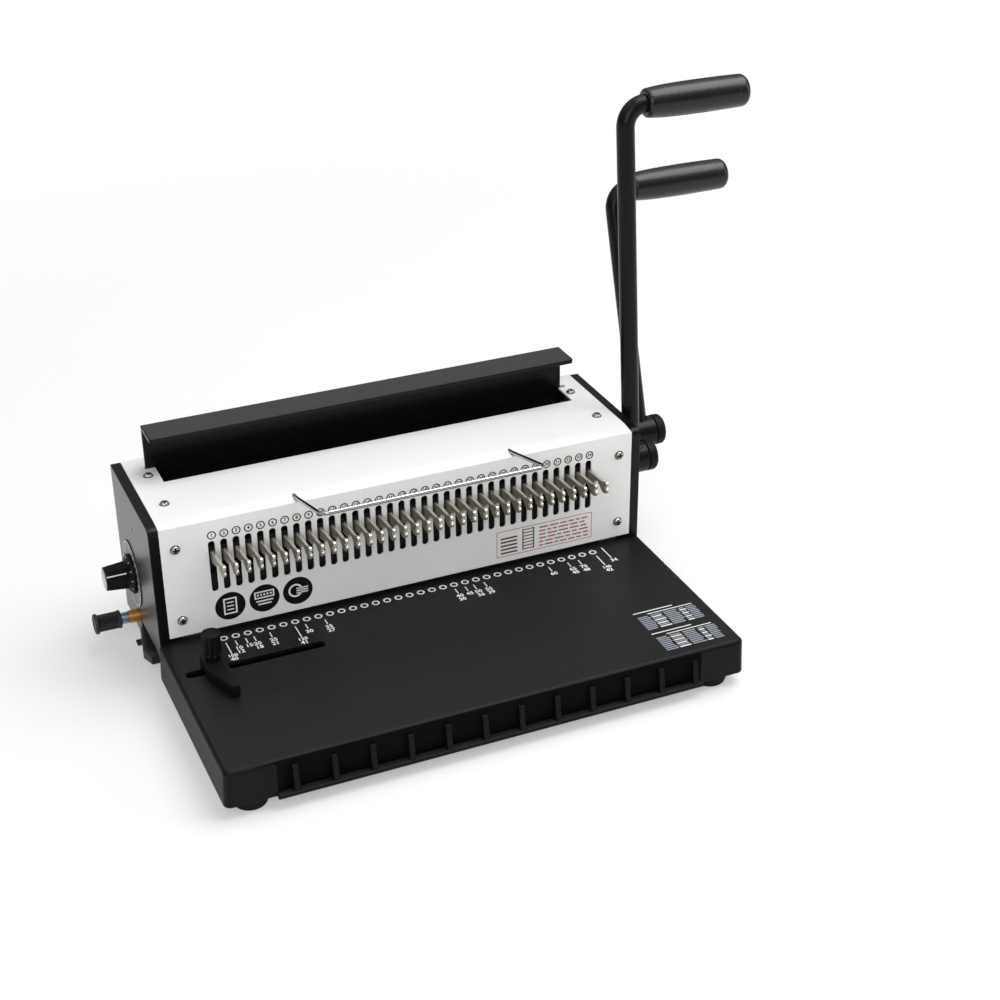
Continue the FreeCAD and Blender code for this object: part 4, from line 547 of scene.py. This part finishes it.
def tray_back():
    """A plate whose face lies at TRAY_DEPTH * t^2 (3 - 2t), where t runs over TRAY_END mm from each end."""
    steps = np.linspace(0, 1, 9)
    curve = steps ** 2 * (3 - 2 * steps)
    x = np.concatenate([-CHANNEL_HALF + steps * TRAY_END, CHANNEL_HALF - steps[::-1] * TRAY_END])
    depth = TRAY_DEPTH * np.concatenate([curve, curve[::-1]]) + 0.05
    rear, head = WALL_CUT + 0.05, EDGE_BOTTOM + 0.1
    rows = [along_front([at], [(d, TRAY_FOOT), (d, head), (rear, head), (rear, TRAY_FOOT)])[0]
            for at, d in zip(x, depth)]
    return shell("tray_back", rows, grid_faces(len(x), 4), 30)


def tray_lip():
    """The lip's outline, drawn out a little past both ends of the channel."""
    lip = along_front((-CHANNEL_HALF - 1, CHANNEL_HALF + 1), LIP)
    return shell("tray_lip", lip, grid_faces(2, len(LIP)), 50)


def tray_ribs():
    """The rib's outline at four places across its thickness, the outer two set back by 0.3 mm."""
    rib = along_front((-1.9, -1.6, 1.6, 1.9), RIB)
    rib[[0, 3], 1:7, 1] += 0.3 * MM
    shifts = [((RIB_SHIFT + (k - (RIBS - 1) / 2) * RIB_PITCH) * MM, 0, 0) for k in range(RIBS)]
    return shell("tray_ribs", *repeated(rib, grid_faces(4, len(RIB)), shifts), 35)


# The back takes the darker finish, painted shade in the recess; ribs and lip keep the plain black plastic.
add_piece("tray_back", tray_back(), "frame", TRAY_PAINTED_SHADE)
add_piece("tray_lip", tray_lip(), "frame", FINISH["black_plastic"])
add_piece("tray_ribs", tray_ribs(), "frame", FINISH["black_plastic"])
print("tray ribs:", RIBS)

# %% [markdown]
# Each lever is a bent tube: up from its hub, round a bend and into the grip. The hub's joint and the
# grip's box in the frame say where it starts and ends. The grip is one turned profile: it leaves a
# narrow neck, fills out quickly, stays almost even and closes in a rounded end behind a fine seam.

# %% Levers
TUBE_RADIUS = 6.5 * MM
TUBE_START = 8 * MM
TUBE_SHORT_OF_END = 14 * MM


def grip_profile(length):
    """Distance and radius along a grip: 9.9 + 2.05 (1 - exp(-s / 13)) - 0.6 (s / length)^4 mm, a
    seam of 0.1 mm near the end, and a quarter circle that closes it."""
    edge = 5.0
    s = np.concatenate([np.linspace(1.2, length - edge - 6, 34),
                        length - edge - 4 + np.array([-1.2, -0.7, -0.35, 0.0, 0.35, 0.7, 1.2, 3.9])])
    body = 9.9 + 2.05 * (1 - np.exp(-s / 13)) - 0.6 * (s / length) ** 4
    body -= 0.1 * np.exp(-((s - (length - edge - 4)) / 0.4) ** 2)
    angle = np.linspace(0, math.pi / 2, 10)[1:]
    along = np.concatenate([[0.0, 0.0, 0.5], s, length - edge + edge * np.sin(angle), [length]])
    radius = np.concatenate([[6.7, 8.9, 9.5], body, body[-1] - edge + edge * np.cos(angle), [0.4]])
    return along * MM, radius * MM


def lever(name):
    """The tube and grip of one lever, worked out from its joint and from its grip's box."""
    pivot = np.array(JOINT[name + "_lever_swing"]["pos_m"])
    grip_low, grip_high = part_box(name + "_grip")
    axis_point = np.array([grip_low.x, (grip_low.y + grip_high.y) / 2, (grip_low.z + grip_high.z) / 2])
    rise = axis_point - pivot
    rise[0] = 0
    reach = np.linalg.norm(rise)
    upward = rise / reach
    outward = np.array([1.0, 0.0, 0.0])
    bend = grip_low.x - pivot[0]
    grip_length = grip_high.x - grip_low.x
    straight = pivot + np.linspace(TUBE_START, reach - bend, 12)[:, None] * upward
    turn = arc(pivot + (reach - bend) * upward + bend * outward, -outward, upward, bend, 0, math.pi / 2, 24)
    level = turn[-1] + np.linspace(0, grip_length - TUBE_SHORT_OF_END, 6)[:, None] * outward
    path = np.vstack([straight, turn[1:], level[1:]])
    tube = pipe(name + "_tube", path, TUBE_RADIUS, np.cross(upward, outward), 40)
    add_piece(name + "_tube_bent", tube, name + "_lever", FINISH["black_coat"],
              [name + "_lever_tube"])
    along, radius = grip_profile(grip_length / MM)
    grip = turned(name + "_grip", along, radius, axis_point, outward)
    add_piece(name + "_grip_turned", grip, name + "_lever", FINISH["grip_rubber"],
              [name + "_grip"])
    print(name, "reach", round(reach / MM, 1), "mm, grip", round(grip_length / MM, 1), "mm")


lever("punch")
lever("closer")

# %% [markdown]
# The wire hooks are pressed from sheet steel: a root in the slot, an arched underside and an
# upturned nose with a small seat for the wire. The outline is smoothed by cutting its corners twice,
# set in slightly at both faces for the pressed edge, and repeated at the pitch of the holes. The two
# flat sides get a darker, less metallic copy of the steel as painted shade, so the edges stand out
# bright beside them.

# %% Wire hooks
HOOK_THICK = 2.2
HOOK_FLAT = 0.72
HOOK_EDGE = 0.28
HOOK_OUTLINE = [
    (3.4, 90.5), (-8.7, 93.0), (-10.5, 93.9), (-12.5, 96.8), (-15.5, 98.7), (-18.0, 98.1), (-20.0, 96.6),
    (-22.0, 95.0), (-24.5, 93.9), (-27.0, 93.8), (-29.4, 94.8), (-30.7, 96.2),
    (-30.8, 98.2), (-28.6, 98.9), (-28.6, 100.0), (-30.8, 100.7), (-30.9, 102.4), (-29.8, 103.6),
    (-28.0, 103.8), (-26.0, 103.1), (-23.5, 102.0), (-16.0, 101.4), (3.4, 100.6),
]


def cut_corners(points, rounds):
    """A closed outline made smoother: each side keeps its middle half, so each corner becomes two."""
    for _ in range(rounds):
        following = np.roll(points, -1, axis=0)
        pairs = [0.75 * points + 0.25 * following, 0.25 * points + 0.75 * following]
        points = np.stack(pairs, 1).reshape(-1, 2)
    return points


def set_in(points, distance):
    """A closed outline moved inwards: each point goes along the normal of its neighbours' line."""
    tangent = np.roll(points, -1, axis=0) - np.roll(points, 1, axis=0)
    tangent /= np.linalg.norm(tangent, axis=1)[:, None]
    area = np.sum(points[:, 0] * np.roll(points[:, 1], -1) - np.roll(points[:, 0], -1) * points[:, 1])
    inward = np.stack([-tangent[:, 1], tangent[:, 0]], 1) * np.sign(area)
    return points + distance * inward


def wire_hooks():
    """Four copies of the outline across the sheet's thickness, the outer two set in by HOOK_EDGE mm."""
    outline = cut_corners(np.array(HOOK_OUTLINE), 2)
    rings = []
    for across, inset in ((-1, HOOK_EDGE), (-HOOK_FLAT, 0.0), (HOOK_FLAT, 0.0), (1, HOOK_EDGE)):
        flat = set_in(outline, inset)
        rings.append(np.column_stack([np.full(len(flat), across * HOOK_THICK / 2), flat]))
    hook = ZERO + np.stack(rings) * MM
    shifts = np.column_stack([HOLE_X * MM, np.zeros(HOLES), np.zeros(HOLES)])
    points, faces = repeated(hook, grid_faces(4, len(outline)), shifts)
    mesh = shell("wire_hooks_pressed", points, faces, 35)
    add_piece("wire_hooks_pressed", mesh, "frame", FINISH["hook_steel"], ["wire_hooks"])
    mesh.materials.append(HOOK_FLANK_SHADE)
    # The flat sides, the only faces with more than four corners, take the painted shade.
    mesh.polygons.foreach_set("material_index", [int(len(face) > 4) for face in faces])
    print("hooks:", HOLES, "points:", len(points))


wire_hooks()

# %% [markdown]
# The rod over the hooks is bright round wire: two legs out of the roof's front edge, two small bends
# and a bar across that holds the wire loops down.

# %% Chrome rod
ROD_HALF = 79.8
ROD_REACH = 59.0
ROD_TAIL = 15.0
ROD_BEND = 6.0
ROD_RADIUS = 1.4
ROD_LIFT = math.radians(15.3)
ROD_ROOT = (1.9, 5.9, 123.707)


def chrome_rod():
    """A circle carried along leg, quarter bend, bar, quarter bend and leg."""
    outward = np.array([0.0, -math.cos(ROD_LIFT), math.sin(ROD_LIFT)])
    across = np.array([1.0, 0.0, 0.0])
    left = place(*ROD_ROOT) - ROD_HALF * MM * across
    other = place(*ROD_ROOT) + ROD_HALF * MM * across
    radius = ROD_BEND * MM
    straight = (ROD_REACH - ROD_BEND) * MM
    out_leg = left + np.linspace(-ROD_TAIL * MM, straight, 10)[:, None] * outward
    first = arc(left + straight * outward + radius * across, -across, outward, radius, 0, math.pi / 2, 10)
    second = arc(other + straight * outward - radius * across, outward, across, radius, 0, math.pi / 2, 10)
    back_leg = other + np.linspace(straight, -ROD_TAIL * MM, 10)[:, None] * outward
    path = np.vstack([out_leg, first[1:], second, back_leg[1:]])
    rod = pipe("rod", path, ROD_RADIUS * MM, np.cross(outward, across), 20)
    add_piece("wire_rod_bent", rod, "frame", FINISH["bright_rod"], ["wire_rod"])


chrome_rod()

# %% [markdown]
# The three knobs are mouldings. The dial's knob has a skirt, fine ribs and a rim round its cap, the
# margin knob is knurled between two flanges, and the clamp knob is a tall fluted one with a sunk top.

# %% Knobs
TO_LEFT = np.array([-1.0, 0.0, 0.0])
UPWARD = np.array([0.0, 0.0, 1.0])


def middle(node):
    """The middle of a node's box as an array."""
    low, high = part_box(node)
    return (np.array(low) + np.array(high)) / 2


def dial_knob():
    """Skirt, ribbed barrel that narrows from 9.8 to 8.7 mm, and a rolled rim round a sunk face."""
    low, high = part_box("dial_knob")
    start = middle("dial_knob")
    start[0] = high.x
    long = (high.x - low.x) / MM
    profile = np.array([
        (0, 3.6), (0, 14.2), (0.4, 14.5), (1.6, 14.1), (3.0, 12.0), (3.8, 10.4), (4.5, 9.8),
        (long - 2.4, 8.7), (long - 2.2, 8.6), (long - 0.7, 8.6), (long - 0.2, 8.4), (long, 8.1),
        (long, 7.9), (long - 0.35, 7.7), (long - 0.35, 0.4)])
    ribbed = np.zeros(len(profile))
    ribbed[6:8] = 1
    knob = turned("dial_knob_ribbed", profile[:, 0] * MM, profile[:, 1] * MM, start, TO_LEFT,
                  240, 40, 0.5 * MM, ribbed, 30)
    add_piece("dial_knob_ribbed", knob, BODY_OF["dial_knob"], FINISH["black_plastic"],
              ["dial_knob"])
    return start, long


def dial_cap(start, long):
    """A thin crowned disc in the knob's face."""
    profile = np.array([(long - 0.6, 0.4), (long - 0.6, 7.6), (long + 0.2, 7.6), (long + 0.55, 7.3),
                        (long + 0.8, 6.5), (long + 0.95, 3.6), (long + 1.0, 0.4)])
    cap = turned("dial_cap_crowned", profile[:, 0] * MM, profile[:, 1] * MM, start, TO_LEFT)
    add_piece("dial_cap_crowned", cap, BODY_OF["dial_cap"], FINISH["silver_cap"], ["dial_cap"])


def margin_knob():
    """Flange, knurled body of 6.1 mm, and the wider end flange with a rounded edge."""
    low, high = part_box("margin_knob")
    start = middle("margin_knob")
    start[0] = high.x
    long = (high.x - low.x) / MM
    profile = np.array([
        (0, 2.9), (0, 6.1), (0.4, 6.5), (1.9, 6.5), (2.4, 6.0), (2.7, 6.1), (long - 3.2, 6.1),
        (long - 2.5, 7.0), (long - 2.1, 7.3), (long - 0.9, 7.3), (long - 0.2, 6.9), (long, 6.2),
        (long - 0.4, 5.4), (long - 0.6, 0.4)])
    knurled = np.zeros(len(profile))
    knurled[5:7] = 1
    knob = turned("margin_knob_knurled", profile[:, 0] * MM, profile[:, 1] * MM, start, TO_LEFT,
                  168, 28, 0.7 * MM, knurled, 30)
    add_piece("margin_knob_knurled", knob, BODY_OF["margin_knob"], KNOB_RUBBER,
              ["margin_knob"])


def clamp_knob():
    """A foot of 5.2 mm that widens to a fluted body of 6.4 mm, with a rolled rim and a sunk top."""
    low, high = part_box("guide_knob")
    start = middle("guide_knob")
    start[2] = low.z
    tall = (high.z - low.z) / MM
    profile = np.array([
        (0, 1.7), (0, 5.0), (0.5, 5.2), (1.6, 5.2), (3.4, 6.1), (4.4, 6.4), (tall - 3.0, 6.4),
        (tall - 2.2, 6.4), (tall - 0.8, 6.4), (tall - 0.2, 6.2), (tall, 5.8), (tall - 0.1, 5.3),
        (tall - 0.8, 5.0), (tall - 1.0, 4.6), (tall - 1.0, 0.4)])
    waves = np.zeros(len(profile))
    waves[5:7] = 1
    knob = turned("clamp_knob_fluted", profile[:, 0] * MM, profile[:, 1] * MM, start, UPWARD,
                  144, 9, 1.3 * MM, waves, 30)
    add_piece("clamp_knob_fluted", knob, BODY_OF["guide_knob"], FINISH["black_plastic"],
              ["guide_knob"])


DIAL_START, DIAL_LONG = dial_knob()
dial_cap(DIAL_START, DIAL_LONG)
margin_knob()
clamp_knob()
print("dial knob", round(DIAL_LONG, 1), "mm long")

# %% [markdown]
# Printed marks are ink: a film far thinner than a hair. Here each mark is a thin closed plate that
# sits a twentieth of a millimetre proud, because a real shape prints sharper than a texture and
# survives an export. Marks are drawn on a flat sheet first, across and upward, then laid on the
# surface that carries them.

# %% Flat marks
FILM = 0.05
SUNK = 0.10
FONT_SCALE = 1.38
FONT_BOLD = 0.035


def ring_mark(u, v, inner, outer, around=36, lift=0.0):
    """A flat ring: its inner and outer circle at the film's bottom and top."""
    angle = np.linspace(0, 2 * np.pi, around, endpoint=False)
    circle = np.column_stack([np.cos(angle), np.sin(angle)])
    bottom, top = lift - SUNK, lift + FILM
    rows = [np.column_stack([(u, v) + size * circle, np.full(around, level)])
            for size, level in ((inner, bottom), (outer, bottom), (outer, top), (inner, top))]
    return np.vstack(rows), grid_faces(4, around, wrap_rows=True)


def plate_mark(outline, lift=0.0):
    """A flat filled outline: the outline at the film's bottom and top."""
    outline = np.asarray(outline, float)
    rows = [np.column_stack([outline, np.full(len(outline), level)]) for level in (lift - SUNK, lift + FILM)]
    return np.vstack(rows), grid_faces(2, len(outline))


def disc_mark(u, v, radius, around=48, lift=0.0):
    """A flat disc."""
    angle = np.linspace(0, 2 * np.pi, around, endpoint=False)
    return plate_mark(np.column_stack([u + radius * np.cos(angle), v + radius * np.sin(angle)]), lift)


def line_mark(u0, v0, u1, v1, width, lift=0.0):
    """A straight line of a given width between two points."""
    start, end = np.array([u0, v0], float), np.array([u1, v1], float)
    along = (end - start) / np.linalg.norm(end - start)
    side = np.array([-along[1], along[0]]) * width / 2
    return plate_mark([start - side, end - side, end + side, start + side], lift)


def frame_mark(u0, v0, u1, v1, width, lift=0.0):
    """The outline of a rectangle, as four lines."""
    half = width / 2
    level = [line_mark(u0 - half, v, u1 + half, v, width, lift) for v in (v0, v1)]
    return level + [line_mark(u, v0 + half, u, v1 - half, width, lift) for u in (u0, u1)]


def number_mark(text, u, v, height):
    """A plain number: Blender's own text, made a mesh, merged, and moved to its place on the sheet."""
    curve = bpy.data.curves.new("number", "FONT")
    curve.body = text
    curve.size = height * FONT_SCALE
    curve.align_x = "CENTER"
    curve.align_y = "CENTER"
    curve.offset = FONT_BOLD * height
    curve.extrude = (FILM + SUNK) / 2
    curve.resolution_u = 2
    holder = bpy.data.objects.new("number", curve)
    mesh = bpy.data.meshes.new_from_object(holder)
    shape = bmesh.new()
    shape.from_mesh(mesh)
    bmesh.ops.remove_doubles(shape, verts=shape.verts, dist=1e-4)
    shape.to_mesh(mesh)
    shape.free()
    flat = np.empty(len(mesh.vertices) * 3)
    mesh.vertices.foreach_get("co", flat)
    flat = flat.reshape(-1, 3)
    faces = [list(face.vertices) for face in mesh.polygons]
    bpy.data.meshes.remove(mesh)
    bpy.data.objects.remove(holder)
    bpy.data.curves.remove(curve)
    return flat + (u, v, (FILM - SUNK) / 2), faces


def lay_marks(name, marks, origin, across, upward, material, body="frame", slot="white_coat"):
    """All marks of one material as one mesh: origin + u * across + v * upward + height * (across x upward)."""
    axes = np.array([across, upward, np.cross(across, upward)], float) * MM
    points, faces, count = [], [], 0
    for flat, sides in marks:
        points.append(np.asarray(origin) + flat @ axes)
        faces += [[i + count for i in side] for side in sides]
        count += len(flat)
    add_piece(name, shell(name, np.vstack(points), faces, 30), body, material)
    print(name, "marks:", len(marks), "points:", count)


# %% [markdown]
# The white panel carries a plain number in a circle over each slot, three dark round marks with plain
# signs for a sheet, a punched row and a closed ring, and a ruled plate.

# %% Marks on the panel
PANEL = (place(0, 0, 0), (1, 0, 0), (0, 0, 1))
NUMBER_HEIGHT = 111.5
NUMBER_SIZE = 2.6
NUMBER_SHIFT = 0.6
NUMBER_RING = (2.3, 3.1)
BADGE_X = (-130.7, -106.5, -82.6)
BADGE_Z = 54.3
BADGE_RADIUS = 10.7
SIGN_LIFT = 0.06


def panel_numbers():
    """Numbers 1 to 34, each in a circle."""
    marks = []
    for index, x in enumerate(HOLE_X):
        marks.append(ring_mark(x + NUMBER_SHIFT, NUMBER_HEIGHT, *NUMBER_RING))
        marks.append(number_mark(str(index + 1), x + NUMBER_SHIFT, NUMBER_HEIGHT, NUMBER_SIZE))
    return marks


def sheet_sign(u, v, lift):
    """A sheet of paper: an upright outline with three lines."""
    marks = frame_mark(u - 4.2, v - 5.8, u + 4.2, v + 5.8, 1.1, lift)
    marks += [line_mark(u - 2.4, v + shift, u + 2.4, v + shift, 0.9, lift) for shift in (-2.8, 0.0, 2.8)]
    return marks


def row_sign(u, v, lift):
    """A punched row: a strip with a line of square holes above three lines."""
    marks = frame_mark(u - 6.6, v + 0.8, u + 6.6, v + 5.4, 1.0, lift)
    marks += [line_mark(u + step * 2.3 - 0.6, v + 3.1, u + step * 2.3 + 0.6, v + 3.1, 1.5, lift)
              for step in (-2, -1, 0, 1, 2)]
    marks += [line_mark(u - 6.0 + 1.2 * k, v - 1.8 - 2.4 * k, u + 6.0 - 1.2 * k, v - 1.8 - 2.4 * k, 1.1, lift)
              for k in (0, 1)]
    return marks


def ring_sign(u, v, lift):
    """A closed ring on the edge of a few sheets."""
    marks = [ring_mark(u - 1.6, v + 0.4, 3.9, 5.2, 36, lift)]
    marks += [line_mark(u - 1.0, v + shift, u + 7.4, v + shift, 0.9, lift) for shift in (-1.8, 0.0, 1.8)]
    return marks


lay_marks("panel_numbers", panel_numbers(), *PANEL, BLACK_INK_AND_SHADE)
lay_marks("panel_badges", [disc_mark(x, BADGE_Z, BADGE_RADIUS) for x in BADGE_X], *PANEL, BLACK_INK_AND_SHADE)
signs = []
for sign, x in zip((sheet_sign, row_sign, ring_sign), BADGE_X):
    signs += sign(x, BADGE_Z, SIGN_LIFT)
lay_marks("panel_signs", signs, *PANEL, INK_WHITE)

# %% Ruled plate on the panel
RULED = (67.3, 43.5, 142.8, 64.2)
RULES_START = 33.5
RULE_GAP = 1.3
LADDER = (20.5, 29.0)


def ruled_plate():
    """A thin red outline and six rows of red rules with gaps, and dark bars and a ladder at the left."""
    left, low, far, high = RULED
    red = frame_mark(left, low, far, high, 0.45)
    rows = np.linspace(high - 3.2, low + 2.6, 6)
    steps = np.random.default_rng(5)
    for row in rows:
        u = left + RULES_START
        while u < far - 6:
            length = float(steps.uniform(3.0, 8.0))
            red.append(line_mark(u, row, min(u + length, far - 2.5), row, 1.1))
            u += length + RULE_GAP
    dark = [line_mark(left + 3.0, row, left + 16.0, row, 1.3) for row in rows[1:]]
    near, off = left + LADDER[0], left + LADDER[1]
    dark += [line_mark(u, low + 1.8, u, high - 1.4, 0.9) for u in (near, off)]
    dark += [line_mark(near, v, off, v, 0.8) for v in np.linspace(low + 2.6, high - 2.2, 7)]
    return red, dark


red_rules, dark_rules = ruled_plate()
lay_marks("ruled_plate_lines", red_rules, *PANEL, INK_RED)
lay_marks("ruled_plate_ladder", dark_rules, *PANEL, INK_DARK_RED)

# %% [markdown]
# The cross in a screw's head is deep and lies in shade, and so does the edge under the head. A thin
# black cross of painted shade lies on the floor of each recess, and a black ring of painted shadow round each
# head.

# %% Painted shade in the screws
FACE_SCREWS = [(x, z) for x in (-164.3, 164.3) for z in (51.1, 106.2)]
ROOF_SCREWS = [(x, y) for x in (-161.5, 161.5) for y in (31.6, 75.8)]
CROSS_REACH = 2.15
CROSS_WIDTH = 1.1
CROSS_LEVEL = 0.42
# The ring round each head is a painted shadow where the head meets the sheet.
HEAD_SHADOW_RING = (3.0, 3.55)


def screw_shade_marks(centres):
    """Two bars of painted shade for each screw, from arm to arm, and a ring of painted shadow at its head's edge.
    """
    marks = []
    for u, v in centres:
        marks.append(line_mark(u - CROSS_REACH, v, u + CROSS_REACH, v, CROSS_WIDTH, CROSS_LEVEL))
        marks.append(line_mark(u, v - CROSS_REACH, u, v + CROSS_REACH, CROSS_WIDTH, CROSS_LEVEL))
        marks.append(ring_mark(u, v, *HEAD_SHADOW_RING))
    return marks


ROOF = (place(0, 0, ROOF_TOP), (1, 0, 0), (0, 1, 0))
lay_marks("face_screw_painted_shade", screw_shade_marks(FACE_SCREWS), *PANEL, BLACK_INK_AND_SHADE, slot="zinc_screw")
lay_marks("roof_screw_painted_shade", screw_shade_marks(ROOF_SCREWS), *ROOF, BLACK_INK_AND_SHADE, slot="zinc_screw")

# %% [markdown]
# On the table a white ring lies in front of each hole, with measuring lines and plain numbers
# beside them. A grey chart of bare rows and columns lies near the right edge.

# %% Marks on the table
TABLE = (place(0, 0, TABLE_TOP), (1, 0, 0), (0, 1, 0))
RING_Y = -8.9
RING_SHIFT = 0.2
RING_EDGES = (1.75, 2.85)
LINE_START = -14.8
SHORT_END = -21.0
LONG_END = -29.0
LINE_WIDTH = 0.8
FIGURE = 3.9
SMALL_FIGURE = 3.4
SHORT_LINES = (-133.2, -126.0, -120.2, -108.9, -83.3, -69.1, 28.2, 35.8, 42.3, 50.4, 101.4, 116.6, 125.2)
LONG_LINES = (-139.8, -90.6, 140.1)


def table_rings():
    """A white ring in front of every hole."""
    return [ring_mark(x + RING_SHIFT, RING_Y, *RING_EDGES, 24) for x in HOLE_X]


def measuring_lines():
    """Short and long lines with one or two plain numbers at their ends."""
    marks = []
    for index, x in enumerate(SHORT_LINES):
        marks.append(line_mark(x, LINE_START, x, SHORT_END, LINE_WIDTH))
        marks.append(number_mark(str(10 + 5 * index), x, -24.4, FIGURE))
        if index % 3 != 1:
            marks.append(number_mark(str(12 + 3 * index), x, -29.2, FIGURE))
    for index, x in enumerate(LONG_LINES):
        marks.append(line_mark(x, LINE_START, x, LONG_END, LINE_WIDTH))
        marks.append(number_mark(str(100 + 20 * index), x, -31.8, SMALL_FIGURE))
        marks.append(number_mark(str(40 + index), x, -36.2, FIGURE))
    marks.append(line_mark(148.6, -5.7, 148.9, -21.4, LINE_WIDTH))
    marks.append(number_mark("34", 149.4, -25.0, FIGURE))
    return marks


CHART_TOPS = (-97.0, -124.5)
CHART_COLUMNS = ((128.0, 137.4), (138.0, 147.4), (148.0, 159.0), (159.6, 164.6), (165.2, 173.0))
PALE_COLUMNS = (138.0, 159.6)
ROW_STEP = 2.2
ROW_THICK = 1.15


def bare_chart():
    """Two blocks of eight ruled rows, with white bars in two columns, each under two white lines."""
    white, grey = [], []
    chance = np.random.default_rng(11)
    for top in CHART_TOPS:
        white.append(line_mark(127.5, top, 158.0, top, 0.9))
        white.append(line_mark(137.0, top - 3.4, 171.5, top - 3.4, 0.8))
        for row in range(8):
            v = top - 6.0 - row * ROW_STEP
            for u0, u1 in CHART_COLUMNS:
                reach = u0 + (u1 - u0) * float(chance.uniform(0.8, 1.0))
                ink = white if u0 in PALE_COLUMNS and row % 2 else grey
                ink.append(line_mark(u0, v, reach, v, ROW_THICK))
    return white, grey


lay_marks("table_rings", table_rings(), *TABLE, INK_WHITE, slot="black_plastic")
lay_marks("measuring_lines", measuring_lines(), *TABLE, INK_WHITE, slot="black_plastic")
chart_heads, chart_rows = bare_chart()
lay_marks("chart_heads", chart_heads, *TABLE, INK_WHITE, slot="black_plastic")
lay_marks("chart_rows", chart_rows, *TABLE, INK_GREY, slot="black_plastic")

# %% [markdown]
# The dial's scale disc is dark with a thin white outline and short marks, and the knob has a white
# pointer line along its side that turns with it.

# %% Marks on the dial
scale_low, scale_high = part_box("dial_scale")
SCALE_RADIUS = (scale_high.z - scale_low.z) / 2 / MM
TICK_END = SCALE_RADIUS - 2.4
TICK_FIRST = -45
TICK_STEP = 15
TICKS = 19


def dial_marks():
    """A white ring at the disc's edge, and a short mark every 15 degrees over three quarters of it."""
    marks = [ring_mark(0, 0, SCALE_RADIUS - 1.5, SCALE_RADIUS - 0.8, 72)]
    for step in range(TICKS):
        a = math.radians(TICK_FIRST + TICK_STEP * step)
        c, s = math.cos(a), math.sin(a)
        inner = TICK_END - (5.0 if step % 3 == 0 else 3.4)
        marks.append(line_mark(inner * c, inner * s, TICK_END * c, TICK_END * s, 0.5))
    return marks


def knob_bar(degrees, stations, half):
    """The corners of a narrow bar that follows the knob's side: at each station, its distance and radius."""
    a = math.radians(degrees)
    out = np.array([0.0, -math.cos(a), math.sin(a)])
    beside = np.array([0.0, math.sin(a), math.cos(a)]) * half * MM
    corners = []
    for along, radius in stations:
        centre = DIAL_START + along * MM * TO_LEFT
        inside, outside = centre + (radius - 0.5) * MM * out, centre + (radius + 0.12) * MM * out
        corners.append([inside - beside, inside + beside, outside + beside, outside - beside])
    return np.array(corners).reshape(-1, 3)


def pointer_line():
    """One long bar at 35 degrees above the level towards the user, and short ones round the skirt."""
    bars = [knob_bar(35, ((4.9, 9.75), (DIAL_LONG - 0.5, 8.62)), 0.45)]
    bars += [knob_bar(degrees, ((1.9, 13.9), (2.7, 12.6)), 0.2) for degrees in range(-55, 305, 30)]
    faces = [[i + 8 * step for i in face] for step in range(len(bars)) for face in grid_faces(2, 4)]
    return shell("dial_pointer", np.vstack(bars), faces)


scale_face = middle("dial_scale")
scale_face[0] = scale_low.x
lay_marks("dial_marks", dial_marks(), scale_face, (0, -1, 0), (0, 0, 1), INK_WHITE,
          BODY_OF["dial_scale"], "dial_black")
add_piece("dial_pointer", pointer_line(), BODY_OF["dial_knob"], INK_WHITE)
